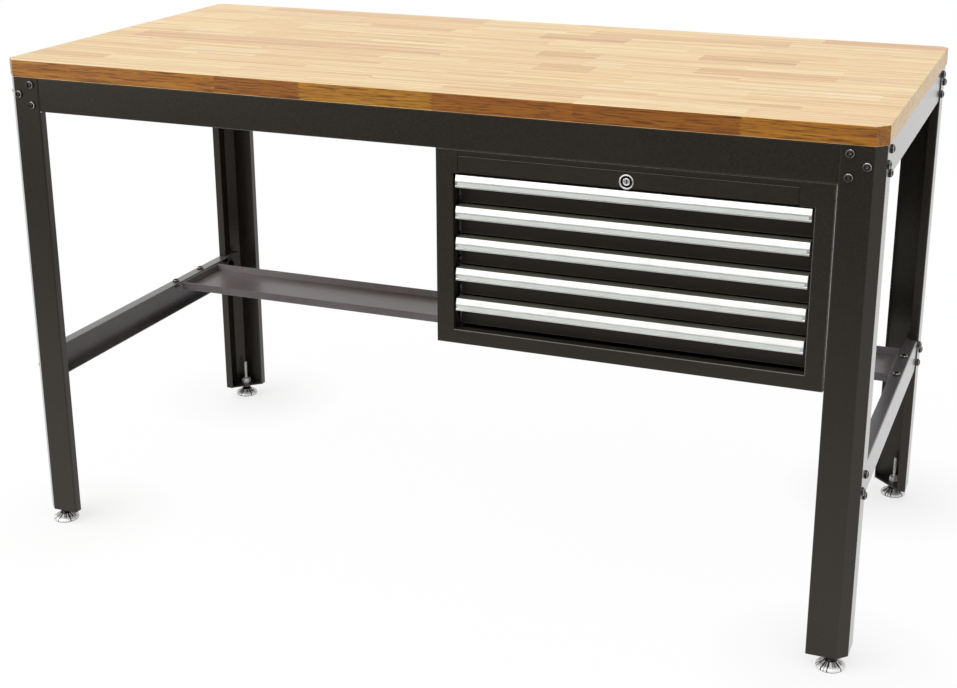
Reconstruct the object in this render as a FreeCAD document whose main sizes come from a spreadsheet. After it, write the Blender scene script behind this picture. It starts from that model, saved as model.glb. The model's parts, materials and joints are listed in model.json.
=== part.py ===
import FreeCAD, Part
import math
import os
from types import SimpleNamespace

import Sketcher

# A workbench: a wooden top on a folded steel frame with four levelling feet, a trough between the
# side stretchers at the back, and a chest of five drawers hung under the right half of the top.
# X runs to the right, Y to the back and Z up, in millimetres. The origin lies on the floor under
# the middle of the bench.

SIZES = {
    # Worktop
    "top_length": 1525.0,
    "top_depth": 735.0,
    "top_thick": 30.0,
    "top_height": 890.0,
    "top_front_cut": 17.5,
    "top_rear_cut": 10.0,
    "top_ease": 1.2,
    # Sheet of the frame
    "sheet": 2.0,
    "bend": 2.5,
    # Legs, folded round a cut corner, with a lip along each free edge
    "leg_side_inset": 1.5,
    "leg_front_inset": 0.5,
    "leg_width": 66.0,
    "leg_depth": 63.0,
    "leg_corner": 16.5,
    "leg_lip": 16.0,
    "leg_clear": 26.0,
    "notch_gap": 1.0,
    # Rails under the top and stretchers near the floor
    "rail_height": 60.0,
    "rail_flange": 22.0,
    "rail_gap": 1.5,
    "stretcher_low": 281.5,
    # Frame bolts with square necks, and their nuts
    "bolt_far": 51.0,
    "bolt_near": 25.5,
    "bolt_rise": 18.0,
    "bolt_head": 14.0,
    "bolt_head_top": 8.4,
    "bolt_head_tall": 4.4,
    "bolt_neck": 8.0,
    "nut_across": 13.0,
    "nut_tall": 6.5,
    "hole_gap": 0.3,
    # Trough
    "tray_sheet": 2.0,
    "tray_back_gap": 113.0,
    "tray_width": 143.0,
    "tray_wall": 16.0,
    "tray_end_gap": 2.0,
    "tray_tab": 20.0,
    "tray_ear": 19.0,
    "tray_tab_long": 125.0,
    "tray_bolt_edge": 14.0,
    "tray_bolt_pitch": 97.0,
    "tray_bolt_in": 11.0,
    # Levelling feet: the plate and nut in the leg, the pad and its stud
    "foot_in_side": 27.6,
    "foot_in_front": 20.0,
    "foot_plate": 3.0,
    "foot_plate_gap": 0.3,
    "foot_nut_across": 17.0,
    "foot_nut_tall": 8.0,
    "stud_radius": 5.0,
    "stud_gap": 0.05,
    "plate_hole": 11.0,
    "stud_above_nut": 40.0,
    "pad_radius": 24.0,
    "pad_edge": 2.0,
    "pad_rim": 5.0,
    "pad_crown": 15.0,
    "pad_neck": 9.0,
    # Screws from the frame into the worktop
    "screw_head": 11.0,
    "screw_head_tall": 3.5,
    "screw_shank": 5.0,
    "screw_bite": 20.0,
    "screw_far": 620.0,
    "screw_near": 210.0,
    "screw_in": 13.0,
    # Chest
    "chest_width": 635.5,
    "chest_height": 326.0,
    "chest_depth": 460.0,
    "chest_sheet": 1.5,
    "chest_set": 3.5,
    "chest_leg_gap": 1.5,
    "chest_flange": 14.0,
    "stile": 29.5,
    "sill": 24.0,
    "head": 39.0,
    "return_deep": 18.0,
    # Lock rail let into the head of the face frame
    "lock_rail_left": 38.0,
    "lock_rail_right": 53.5,
    "lock_rail_top": 5.0,
    "lock_rail_seam": 0.5,
    "lock_rail_lap": 4.0,
    # Posts that carry the runners
    "post_width": 30.0,
    "post_front": 36.0,
    "post_back": 28.0,
    # Drawers
    "drawer_pitch": 51.8,
    "drawer_gap": 2.0,
    "drawer_top_gap": 2.8,
    "drawer_sheet": 1.2,
    "front_side_gap": 3.5,
    "front_recess": 25.0,
    "front_lip": 12.0,
    "pan_floor_gap": 2.0,
    "pan_top_gap": 9.0,
    "pan_back_gap": 11.0,
    # Telescopic runners, three nested channels
    "runner_space": 13.0,
    "runner_sheet": 1.2,
    "runner_height": 35.0,
    "runner_play": 0.3,
    "runner_reach": 9.5,
    "runner_front_gap": 1.3,
    # Handles
    "handle_side_gap": 4.0,
    "handle_height": 20.0,
    "handle_wall": 4.0,
    "handle_hook": 9.0,
    "handle_hook_rise": 4.5,
    "handle_skin": 1.8,
    "handle_slant": 3.0,
    "handle_lip": 2.6,
    "handle_band": 8.6,
    "handle_groove": 9.8,
    "handle_band_set": 0.8,
    "handle_groove_set": 1.6,
    # Lock
    "lock_drop": 26.0,
    "lock_ring": 12.0,
    "lock_ring_out": 3.0,
    "lock_barrel": 18.0,
    "lock_barrel_long": 22.0,
    "lock_plug": 6.0,
    "plug_set": 0.8,
    "key_wide": 1.5,
    "key_tall": 6.0,
    "lock_play": 0.08,
    "lock_rod": 3.0,
    "crank_throw": 3.0,
    "crank_back": 7.0,
    "crank_thick": 2.0,
    "crank_pin": 1.5,
    "pin_play": 0.5,
    "bar_half": 9.0,
    "bar_thick": 2.0,
    "bar_play": 0.3,
    "bar_above": 8.0,
    "hook_half": 6.0,
    "hook_reach": 6.2,
    "hook_lip": 1.5,
    "hook_rise": 8.0,
    "hook_drop": 16.0,
    "catch_reach": 7.0,
    "catch_half": 8.0,
    "catch_drop": 7.0,
    "guide_wall": 3.0,
    "guide_tall": 8.0,
    "guide_drop": 28.0,
    "bearing_back": 35.0,
    "bearing_half": 12.0,
    "bearing_below": 8.0,
    # Hangers that carry the back of the chest
    "hanger_in": 110.0,
    "hanger_long": 60.0,
    "hanger_flange": 30.0,
    "hanger_back": 66.0,
    "chest_bolt_head": 12.0,
    "chest_bolt_head_tall": 3.6,
    "chest_bolt_neck": 6.0,
    "chest_nut_across": 10.0,
    "chest_nut_tall": 5.0,
    "chest_bolt_in": 60.0,
    "chest_bolt_front": 11.0,
    # How far a cut runs past what it cuts
    "overrun": 1.0,
}
DRAWERS = 5
BOLT_SIDES = 8
BARREL_SIDES = 8
# Thickness of a 45 degree fold measured along the sheet beside it
FOLD_SHARE = math.tan(math.pi / 8)


class Size:
    """A length with the expression of sheet cells that it comes from."""

    def __init__(self, value, text):
        self.value = value
        self.text = text

    def __add__(self, other):
        return Size(self.value + other.value, f"({self.text} + {other.text})")

    def __sub__(self, other):
        return Size(self.value - other.value, f"({self.text} - {other.text})")

    def __neg__(self):
        return Size(-self.value, f"(-{self.text})")

    def __mul__(self, share):
        return Size(self.value * share, f"({self.text} * {share!r})")

    def __truediv__(self, share):
        return Size(self.value / share, f"({self.text} / {share!r})")


ZERO = Size(0.0, "0")

doc = FreeCAD.newDocument("workbench")
table = doc.addObject("Spreadsheet::Sheet", "Sizes")
for row, (word, number) in enumerate(SIZES.items(), 1):
    table.set(f"A{row}", word)
    table.set(f"B{row}", str(number))
    table.setAlias(f"B{row}", word)
doc.recompute()
s = SimpleNamespace(**{word: Size(float(table.get(word)), f"Sizes.{word}") for word in SIZES})


# Helpers: sketches whose points are bound to the sheet, and the features made from them

PLANES = {"XY": 1, "XZ": -1, "YZ": 1}


def new_body(name):
    body = doc.addObject("PartDesign::Body", name)
    body.Label = name
    return body


def sketch_on(body, plane, height):
    """An empty sketch across the axis of an origin plane, at a height along that axis."""
    planes = {feature.Role: feature for feature in body.Origin.OriginFeatures}
    sketch = body.newObject("Sketcher::SketchObject", f"{body.Name}_sketch")
    sketch.AttachmentSupport = [(planes[f"{plane}_Plane"], "")]
    sketch.MapMode = "FlatFace"
    if PLANES[plane] < 0:
        height = -height
    sketch.setExpression("AttachmentOffset.Base.z", height.text)
    return sketch


def bind(sketch, kind, geometry, point, size):
    index = sketch.addConstraint(Sketcher.Constraint(kind, -1, 1, geometry, point, size.value))
    sketch.setExpression(f"Constraints[{index}]", size.text)


def add_loop(sketch, points):
    """A closed outline of straight lines through points given as pairs of sizes."""
    first = sketch.GeometryCount
    spots = [FreeCAD.Vector(a.value, b.value, 0) for a, b in points]
    for start, end in zip(spots, spots[1:] + spots[:1]):
        sketch.addGeometry(Part.LineSegment(start, end), False)
    for step, (a, b) in enumerate(points):
        line = first + step
        following = first + (step + 1) % len(points)
        sketch.addConstraint(Sketcher.Constraint("Coincident", line, 2, following, 1))
        bind(sketch, "DistanceX", line, 1, a)
        bind(sketch, "DistanceY", line, 1, b)


def add_circle(sketch, centre, radius):
    a, b = centre
    spot = FreeCAD.Vector(a.value, b.value, 0)
    line = sketch.addGeometry(Part.Circle(spot, FreeCAD.Vector(0, 0, 1), radius.value), False)
    bind(sketch, "DistanceX", line, 3, a)
    bind(sketch, "DistanceY", line, 3, b)
    index = sketch.addConstraint(Sketcher.Constraint("Radius", line, radius.value))
    sketch.setExpression(f"Constraints[{index}]", radius.text)


def prism(body, plane, loops, low, high):
    """Material over outlines, from low to high along the axis across the plane."""
    sketch = sketch_on(body, plane, low if PLANES[plane] > 0 else high)
    for loop in loops:
        add_loop(sketch, loop)
    pad = body.newObject("PartDesign::Pad", f"{body.Name}_pad")
    pad.Profile = sketch
    pad.setExpression("Length", (high - low).text)
    return pad


def cut(body, plane, loops, low, high, circles=()):
    """A cut through outlines and circles, from low to high along the axis across the plane."""
    sketch = sketch_on(body, plane, high if PLANES[plane] > 0 else low)
    for loop in loops:
        add_loop(sketch, loop)
    for centre, radius in circles:
        add_circle(sketch, centre, radius)
    pocket = body.newObject("PartDesign::Pocket", f"{body.Name}_pocket")
    pocket.Profile = sketch
    pocket.setExpression("Length", (high - low).text)
    return pocket


def rod(body, plane, centre, radius, low, high):
    """A round bar from low to high along the axis across the plane."""
    sketch = sketch_on(body, plane, low if PLANES[plane] > 0 else high)
    add_circle(sketch, centre, radius)
    pad = body.newObject("PartDesign::Pad", f"{body.Name}_rod")
    pad.Profile = sketch
    pad.setExpression("Length", (high - low).text)
    return pad


def cross_solid(axis, outline, low, high):
    """A loose solid along X or Y, over an outline in the other two directions."""
    if axis == 0:
        corners = [FreeCAD.Vector(low.value, a.value, b.value) for a, b in outline]
        reach = FreeCAD.Vector((high - low).value, 0, 0)
    else:
        corners = [FreeCAD.Vector(a.value, low.value, b.value) for a, b in outline]
        reach = FreeCAD.Vector(0, (high - low).value, 0)
    return Part.Face(Part.makePolygon(corners + corners[:1])).extrude(reach)


def rectangle(a_low, a_high, b_low, b_high):
    return [(a_low, b_low), (a_high, b_low), (a_high, b_high), (a_low, b_high)]


def polygon(centre, across, sides):
    """A regular outline given by its width across flats, with flats square to the first axis."""
    points = []
    for corner in range(sides):
        angle = (2 * corner + 1) * math.pi / sides
        reach_share = 0.5 / math.cos(math.pi / sides)
        a = centre[0] + across * (reach_share * math.cos(angle))
        b = centre[1] + across * (reach_share * math.sin(angle))
        points.append((a, b))
    return points


def channel(side, web, flange, thick, low, high):
    """A C outline: the web's outer face at web, its flanges reaching inward on the given side."""
    face = web * side
    inner = (web - thick) * side
    edge = (web - flange) * side
    return [
        (face, low), (face, high), (edge, high), (edge, high - thick),
        (inner, high - thick), (inner, low + thick), (edge, low + thick), (edge, low),
    ]


def ends(side, outer, near, far):
    """The low and high ends of a stretch that starts near and ends far in from an outer face."""
    if side > 0:
        return outer - far, outer - near
    return near - outer, far - outer


def edges_along(shape, axis, points):
    """Names of the edges parallel to an axis that stand on the given points of its cross plane."""
    others = [k for k in range(3) if k != axis]
    wanted = [(a.value, b.value) for a, b in points]
    names = []
    for number, edge in enumerate(shape.Edges, 1):
        tips = [vertex.Point for vertex in edge.Vertexes]
        if len(tips) != 2:
            continue
        for a, b in wanted:
            if all(abs(tip[others[0]] - a) < 1e-4 and abs(tip[others[1]] - b) < 1e-4 for tip in tips):
                names.append(f"Edge{number}")
    return names


def round_edges(body, axis, points, radius):
    """Rounds every edge parallel to an axis that stands on one of the points."""
    doc.recompute()
    base = body.Tip
    names = edges_along(base.Shape, axis, points)
    if len(names) < len(points):
        raise RuntimeError(f"{body.Name}: {len(names)} of {len(points)} edges to round were found")
    fillet = body.newObject("PartDesign::Fillet", f"{body.Name}_bend")
    fillet.Base = (base, names)
    fillet.setExpression("Radius", radius.text)
    return fillet


def group(name, solids):
    """Loose pieces under one name."""
    feature = doc.addObject("Part::Feature", name)
    feature.Label = name
    feature.Shape = Part.makeCompound(solids)
    return feature


# Places that several pieces share

half_length = s.top_length / 2
half_depth = s.top_depth / 2
leg_x = half_length - s.leg_side_inset
leg_y = half_depth - s.leg_front_inset
frame_top = s.top_height - s.top_thick
rail_low = frame_top - s.rail_height
web_x = leg_x - s.sheet
web_y = leg_y - s.sheet
fold = s.leg_corner + s.sheet * FOLD_SHARE
rail_end_x = leg_x - fold - s.rail_gap
rail_end_y = leg_y - fold - s.rail_gap
stretcher_top = s.stretcher_low + s.rail_height
rail_middle = rail_low + s.rail_height / 2
stretcher_middle = s.stretcher_low + s.rail_height / 2
hole_across = s.bolt_neck + s.hole_gap * 2

SIDES = {"left": -1, "right": 1}
CORNERS = {"front_left": (-1, -1), "front_right": (1, -1), "rear_left": (-1, 1), "rear_right": (1, 1)}


def bolt_triangle(outer, side, middle):
    """Three bolts at the end of a rail: two far from the bench's corner and one near it."""
    far = (outer - s.bolt_far) * side
    near = (outer - s.bolt_near) * side
    return [(far, middle + s.bolt_rise), (near, middle), (far, middle - s.bolt_rise)]


def holes(places):
    return [polygon(place, hole_across, 4) for place in places]


# Worktop

screw_hole = s.screw_shank + s.hole_gap * 2
screw_y = web_y - s.screw_in
screw_x = web_x - s.screw_in


def screw_places():
    """Where the frame is screwed to the worktop: four along each long rail, two along each short."""
    long_rails = [
        (x * side, screw_y * end)
        for end in (-1, 1) for side in (-1, 1) for x in (s.screw_far, s.screw_near)
    ]
    short_rails = [(screw_x * side, s.screw_near * end) for side in (-1, 1) for end in (-1, 1)]
    return long_rails, short_rails


def make_worktop(hanger_screws):
    """The plank, with its four upright corners cut off and its edges eased."""
    body = new_body("worktop")
    x = half_length
    y = half_depth
    front = s.top_front_cut
    rear = s.top_rear_cut
    outline = [
        (front - x, -y), (x - front, -y), (x, front - y), (x, y - rear),
        (x - rear, y), (rear - x, y), (-x, y - rear), (-x, front - y),
    ]
    pad = prism(body, "XY", [outline], frame_top, s.top_height)
    doc.recompute()
    top = s.top_height.value
    rim = [
        f"Edge{number}" for number, edge in enumerate(pad.Shape.Edges, 1)
        if all(abs(vertex.Point.z - top) < 1e-4 for vertex in edge.Vertexes)
    ]
    ease = body.newObject("PartDesign::Chamfer", "worktop_ease")
    ease.Base = (pad, rim)
    ease.setExpression("Size", s.top_ease.text)
    long_rails, short_rails = screw_places()
    loops = [polygon(place, screw_hole, 6) for place in long_rails + short_rails + hanger_screws]
    cut(body, "XY", loops, frame_top - s.overrun, frame_top + s.screw_bite + s.overrun)


# Frame

def make_leg(name, side, end):
    """A leg folded from sheet: a wide face, a cut corner, a side face and a lip on each free edge."""
    body = new_body(name)

    def at(u, v):
        return (leg_x - u) * side, (leg_y - v) * end

    outer = [at(s.leg_width, ZERO), at(s.leg_corner, ZERO), at(ZERO, s.leg_corner), at(ZERO, s.leg_depth)]
    edge_x = s.leg_width - s.sheet
    edge_y = s.leg_depth - s.sheet
    inner = [at(s.sheet, edge_y), at(s.sheet, fold), at(fold, s.sheet), at(edge_x, s.sheet)]
    lips = [at(s.leg_lip, s.leg_depth), at(s.leg_lip, edge_y)]
    back = [at(edge_x, s.leg_lip), at(s.leg_width, s.leg_lip)]
    prism(body, "XY", [outer + lips + inner + back], s.leg_clear, frame_top)
    round_edges(body, 2, outer, s.bend)
    past = s.leg_lip + s.overrun
    root = s.sheet + s.bend + s.overrun
    high = frame_top + s.overrun
    low = rail_low - s.notch_gap
    wide = rectangle(*ends(side, leg_x, s.leg_width - root, s.leg_width + s.overrun),
                     *ends(end, leg_y, s.sheet, past))
    deep = rectangle(*ends(side, leg_x, s.sheet, past),
                     *ends(end, leg_y, s.leg_depth - root, s.leg_depth + s.overrun))
    cut(body, "XY", [wide], low, high)
    cut(body, "XY", [deep], low, high)
    cut(body, "XY", [deep], s.stretcher_low - s.notch_gap, stretcher_top + s.notch_gap)
    through = ends(end, leg_y, -s.overrun, s.sheet + s.overrun)
    cut(body, "XZ", holes(bolt_triangle(leg_x, side, rail_middle)), *through)
    through = ends(side, leg_x, -s.overrun, s.sheet + s.overrun)
    places = bolt_triangle(leg_y, end, rail_middle) + bolt_triangle(leg_y, end, stretcher_middle)
    cut(body, "YZ", holes(places), *through)


def make_long_rail(name, end, flange_cuts):
    """A rail under the front or back edge of the top: a web, and two flanges cut clear of the side rails."""
    outline = channel(end, web_y, s.rail_flange, s.sheet, rail_low, frame_top)
    rail = cross_solid(0, outline, -rail_end_x, rail_end_x)
    face = web_y * end
    bends = edges_along(rail, 0, [(face, rail_low), (face, frame_top)])
    rail = rail.makeFillet(s.bend.value, [rail.getElement(edge) for edge in bends])
    low = rail_low - s.overrun
    high = frame_top + s.overrun
    behind = ends(end, web_y, s.bend, s.rail_flange + s.overrun)
    past = rail_end_x + s.overrun
    places = bolt_triangle(leg_x, -1, rail_middle) + bolt_triangle(leg_x, 1, rail_middle)
    through = ends(end, web_y, -s.overrun, s.sheet + s.overrun)
    tools = [cross_solid(1, loop, *through) for loop in holes(places)]
    tools.append(plate_solid(rectangle(-past, past, *behind), low, high))
    web = rail.cut(tools)
    cope = web_x - s.rail_flange - s.rail_gap
    flanges = rail.common(plate_solid(rectangle(-cope, cope, *behind), low, high))
    long_rails, short_rails = screw_places()
    screws = [polygon(place, screw_hole, 6) for place in long_rails if place[1].value * end > 0]
    tools = [plate_solid(loop, frame_top - s.sheet - s.overrun, high) for loop in screws]
    tools += [plate_solid(loop, low, rail_low + s.sheet + s.overrun) for loop in flange_cuts]
    group(name, web.Solids + flanges.cut(tools).Solids)


def make_short_rail(name, side, low, flange_cuts):
    """A rail or stretcher between a front and a rear leg, its channel open to the inside."""
    body = new_body(name)
    high = low + s.rail_height
    outline = channel(side, web_x, s.rail_flange, s.sheet, low, high)
    prism(body, "XZ", [outline], -rail_end_y, rail_end_y)
    face = web_x * side
    round_edges(body, 1, [(face, low), (face, high)], s.bend)
    middle = low + s.rail_height / 2
    places = bolt_triangle(leg_y, -1, middle) + bolt_triangle(leg_y, 1, middle)
    cut(body, "YZ", holes(places), *ends(side, web_x, -s.overrun, s.sheet + s.overrun))
    cut(body, "XY", flange_cuts, high - s.sheet - s.overrun, high + s.overrun)


def make_rails(front_cuts):
    make_long_rail("rail_front", -1, front_cuts)
    make_long_rail("rail_rear", 1, [])
    long_rails, short_rails = screw_places()
    for word, side in SIDES.items():
        screws = [polygon(place, screw_hole, 6) for place in short_rails if place[0].value * side > 0]
        make_short_rail(f"rail_{word}", side, rail_low, screws)
        bolts = [place for place in tray_bolts() if place[0].value * side > 0]
        make_short_rail(f"stretcher_{word}", side, s.stretcher_low, holes(bolts))


# Trough between the stretchers

tray_top = stretcher_top - s.sheet
tray_low = tray_top - s.tray_wall
tray_end = web_x - s.rail_flange - s.tray_end_gap
tray_rear = leg_y - s.tray_back_gap
tray_front = tray_rear - s.tray_width
tab_front = tray_front - s.tray_ear


def tray_bolts():
    """Two bolts through the top flange of each stretcher into the trough's tab."""
    first = tab_front + s.tray_bolt_edge
    x = web_x - s.tray_bolt_in
    return [(x * side, y) for side in (-1, 1) for y in (first, first + s.tray_bolt_pitch)]


def make_tray():
    """A folded trough with a tab at each end that lies under the stretcher's top flange."""
    body = new_body("rear_tray")
    prism(body, "XY", [rectangle(-tray_end, tray_end, tray_front, tray_rear)], tray_low, tray_top)
    round_edges(body, 0, [(tray_front, tray_low), (tray_rear, tray_low)], s.bend)
    skin = s.tray_sheet
    inside = rectangle(skin - tray_end, tray_end - skin, tray_front + skin, tray_rear - skin)
    cut(body, "XY", [inside], tray_low + skin, tray_top + s.overrun)
    tabs = [
        rectangle(*ends(side, tray_end + s.tray_tab, ZERO, s.tray_tab + skin),
                  tab_front, tab_front + s.tray_tab_long)
        for side in (-1, 1)
    ]
    prism(body, "XY", tabs, tray_top - skin, tray_top)
    cut(body, "XY", holes(tray_bolts()), tray_top - skin - s.overrun, tray_top + s.overrun)


# Levelling feet

foot_x = leg_x - s.foot_in_side
foot_y = leg_y - s.foot_in_front
plate_top = s.leg_clear + s.foot_plate
stud_top = plate_top + s.foot_nut_tall + s.stud_above_nut


def make_foot(name, side, end):
    """A domed pad and the stud that stands on it, turned about one upright axis."""
    body = new_body(name)
    sketch = sketch_on(body, "XZ", foot_y * end)
    radius = s.pad_radius
    middle = foot_x * side
    profile = [
        (ZERO, ZERO), (radius - s.pad_edge, ZERO), (radius, s.pad_rim), (s.pad_neck, s.pad_crown),
        (s.stud_radius, s.pad_crown), (s.stud_radius, stud_top), (ZERO, stud_top),
    ]
    add_loop(sketch, [(middle + reach, height) for reach, height in profile])
    turn = body.newObject("PartDesign::Revolution", f"{name}_turn")
    turn.Profile = sketch
    turn.ReferenceAxis = (sketch, [f"Edge{len(profile)}"])
    turn.Angle = 360
    return body


def make_foot_plates():
    """A plate welded in the foot of each leg, with a square hole, and on it the nut for the stud."""
    plates = []
    nuts = []
    gap = s.sheet + s.foot_plate_gap
    corner = fold + s.foot_plate_gap
    bore = (s.stud_radius + s.stud_gap).value
    for side, end in CORNERS.values():
        outline = [
            ((leg_x - u) * side, (leg_y - v) * end)
            for u, v in [(corner, gap), (s.leg_width - gap, gap), (s.leg_width - gap, s.leg_depth - gap),
                         (gap, s.leg_depth - gap), (gap, corner)]
        ]
        centre = (foot_x * side, foot_y * end)
        hole = Part.makeCylinder(
            bore, stud_top.value, FreeCAD.Vector(centre[0].value, centre[1].value, 0))
        window = plate_solid(polygon(centre, s.plate_hole, 4), s.leg_clear, plate_top)
        plates.append(plate_solid(outline, s.leg_clear, plate_top).cut(window))
        hexagon = polygon(centre, s.foot_nut_across, 6)
        nuts.append(plate_solid(hexagon, plate_top, plate_top + s.foot_nut_tall).cut(hole))
    group("foot_plates", plates)
    group("foot_nuts", nuts)


def plate_solid(outline, low, high):
    """An upright solid over an outline."""
    corners = [FreeCAD.Vector(a.value, b.value, low.value) for a, b in outline]
    face = Part.Face(Part.makePolygon(corners + corners[:1]))
    return face.extrude(FreeCAD.Vector(0, 0, (high - low).value))


# Fasteners, each made once at the origin with its head above and its neck below, then placed

def crown_solid(across, top_across, tall):
    """A many-sided head that narrows towards its top, made of flat faces."""
    foot = [
        FreeCAD.Vector(a.value, b.value, 0) for a, b in polygon((ZERO, ZERO), across, BOLT_SIDES)
    ]
    rim = [
        FreeCAD.Vector(a.value, b.value, tall.value)
        for a, b in polygon((ZERO, ZERO), top_across, BOLT_SIDES)
    ]
    outlines = [foot, rim]
    for step in range(BOLT_SIDES):
        following = (step + 1) % BOLT_SIDES
        outlines.append([foot[step], foot[following], rim[following], rim[step]])
    faces = [Part.Face(Part.makePolygon(outline + outline[:1])) for outline in outlines]
    return Part.Solid(Part.Shell(faces))


def bolt_solid(head, head_top, head_tall, neck, grip):
    """A button head on a square neck that is as long as the grip."""
    crown = crown_solid(head, head_top, head_tall)
    return crown.fuse(plate_solid(polygon((ZERO, ZERO), neck, 4), -grip, ZERO)).removeSplitter()


def hexagon_solid(across, low, high):
    return plate_solid(polygon((ZERO, ZERO), across, 6), low, high)


def screw_solid():
    head = hexagon_solid(s.screw_head, ZERO, s.screw_head_tall)
    return head.fuse(hexagon_solid(s.screw_shank, -(s.sheet + s.screw_bite), ZERO)).removeSplitter()


def placed(solid, spot, outward):
    """A copy of a fastener at a spot, its head pointing outward."""
    copy = solid.copy()
    turn = FreeCAD.Rotation(FreeCAD.Vector(0, 0, 1), FreeCAD.Vector(*outward))
    where = FreeCAD.Vector(*(size.value for size in spot))
    copy.Placement = FreeCAD.Placement(where, turn)
    return copy


def frame_bolt_places():
    """Outer face and outward direction of every frame bolt, legs first and then the trough's."""
    places = []
    for side, end in CORNERS.values():
        for x, z in bolt_triangle(leg_x, side, rail_middle):
            places.append(((x, leg_y * end, z), (0, end, 0)))
        for middle in (rail_middle, stretcher_middle):
            for y, z in bolt_triangle(leg_y, end, middle):
                places.append(((leg_x * side, y, z), (side, 0, 0)))
    for x, y in tray_bolts():
        places.append(((x, y, stretcher_top), (0, 0, 1)))
    return places


def make_frame_fasteners():
    grip = s.sheet * 2
    bolt = bolt_solid(s.bolt_head, s.bolt_head_top, s.bolt_head_tall, s.bolt_neck, grip)
    nut = hexagon_solid(s.nut_across, -(grip + s.nut_tall), -grip)
    places = frame_bolt_places()
    group("frame_bolts", [placed(bolt, spot, outward) for spot, outward in places])
    group("frame_nuts", [placed(nut, spot, outward) for spot, outward in places])


def make_worktop_screws(hanger_screws):
    long_rails, short_rails = screw_places()
    level = frame_top - s.sheet
    screw = screw_solid()
    spots = long_rails + short_rails + hanger_screws
    group("worktop_screws", [placed(screw, (x, y, level), (0, 0, -1)) for x, y in spots])


# Chest

wall = s.chest_sheet
chest_right = leg_x - s.leg_width - s.chest_leg_gap
chest_left = chest_right - s.chest_width
chest_top = rail_low
chest_low = chest_top - s.chest_height
chest_front = s.chest_set - leg_y
chest_back = chest_front + s.chest_depth
panel_front = chest_front + wall
panel_back = chest_back - wall
open_left = chest_left + s.stile
open_right = chest_right - s.stile
open_low = chest_low + s.sill
open_high = chest_top - s.head
rail_left = chest_left + s.lock_rail_left
rail_right = chest_right - s.lock_rail_right
rail_top = chest_top - s.lock_rail_top
lock_x = chest_left + s.chest_width / 2
lock_z = chest_top - s.lock_drop


def folded_member(plate, strip):
    """A flat of the face frame with the strip that is folded back along its edge."""
    flat = cross_solid(1, plate, chest_front, panel_front)
    return flat.fuse(cross_solid(1, strip, chest_front, chest_front + s.return_deep)).removeSplitter()


def make_face_frame():
    """Two stiles, a sill and a head, butted and welded, with a gap above the drawers for the lock rail."""
    members = []
    for outer, edge, inner, turned in (
        (chest_left, open_left, rail_left, open_left - wall),
        (chest_right, open_right, rail_right, open_right + wall),
    ):
        plate = [
            (outer, chest_low), (edge, chest_low), (edge, open_high), (inner, open_high), (inner, chest_top),
            (outer, chest_top),
        ]
        members.append(folded_member(plate, rectangle(edge, turned, open_low - wall, open_high)))
    sill = rectangle(open_left, open_right, chest_low, open_low)
    members.append(folded_member(sill, rectangle(open_left, open_right, open_low - wall, open_low)))
    head = rectangle(rail_left, rail_right, rail_top, chest_top)
    members.append(cross_solid(1, head, chest_front, panel_front))
    group("face_frame", members)


def make_lock_rail():
    """The rail over the drawers, flush in the face frame and lapped behind it."""
    body = new_body("lock_rail")
    seam = s.lock_rail_seam
    lap = s.lock_rail_lap
    plate = rectangle(rail_left + seam, rail_right - seam, open_high, rail_top - seam)
    prism(body, "XZ", [plate], chest_front, panel_front)
    backing = rectangle(rail_left - lap, rail_right + lap, open_high, rail_top + lap - wall)
    prism(body, "XZ", [backing], panel_front, panel_front + wall)
    lower = rectangle(rail_left - lap, rail_right + lap, open_high, open_high + wall)
    prism(body, "XZ", [lower], panel_front + wall, chest_front + s.return_deep)
    barrel = polygon((lock_x, lock_z), s.lock_barrel + s.lock_play * 2, BARREL_SIDES)
    cut(body, "XZ", [barrel], chest_front - s.overrun, panel_front + wall + s.overrun)


def make_chest_side(word, side):
    """A side panel with a flange along its top and bottom edges."""
    body = new_body(f"chest_{word}_side")
    outer = chest_right if side > 0 else -chest_left
    outline = channel(side, outer, s.chest_flange, wall, chest_low + wall, chest_top - wall)
    prism(body, "XZ", [outline], panel_front, panel_back)
    face = outer * side
    corners = [(face, chest_low + wall), (face, chest_top - wall)]
    round_edges(body, 1, corners, s.bend)


def make_chest_panels(top_cuts):
    """Top, bottom and back of the chest."""
    top = new_body("chest_top")
    level = chest_top - wall
    prism(top, "XY", [rectangle(chest_left, chest_right, panel_front, panel_back)], level, chest_top)
    cut(top, "XY", top_cuts, level - s.overrun, chest_top + s.overrun)
    bearing = panel_back - s.bearing_back
    tab = rectangle(lock_x - s.bearing_half, lock_x + s.bearing_half, lock_z - s.bearing_below, level)
    prism(top, "XZ", [tab], bearing, bearing + wall)
    bore = polygon((lock_x, lock_z), (s.lock_rod + s.lock_play) * 2, 4)
    cut(top, "XZ", [bore], bearing - s.overrun, bearing + wall + s.overrun)
    bottom = new_body("chest_bottom")
    floor = rectangle(chest_left, chest_right, panel_front, panel_back)
    prism(bottom, "XY", [floor], chest_low, chest_low + wall)
    back = new_body("chest_back")
    sheet = rectangle(chest_left, chest_right, chest_low, chest_top)
    prism(back, "XZ", [sheet], panel_back, chest_back)
    for level in (pan_top(0) - s.guide_drop, pan_top(DRAWERS - 1) - s.guide_drop):
        slack = s.bar_half + s.bar_play
        reach = slack + s.guide_wall
        face = panel_back - s.bar_play * 2 - s.bar_thick
        strap = [
            (lock_x - reach, panel_back), (lock_x - reach, face - wall), (lock_x + reach, face - wall),
            (lock_x + reach, panel_back), (lock_x + slack, panel_back), (lock_x + slack, face),
            (lock_x - slack, face), (lock_x - slack, panel_back),
        ]
        prism(back, "XY", [strap], level, level + s.guide_tall)


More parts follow.
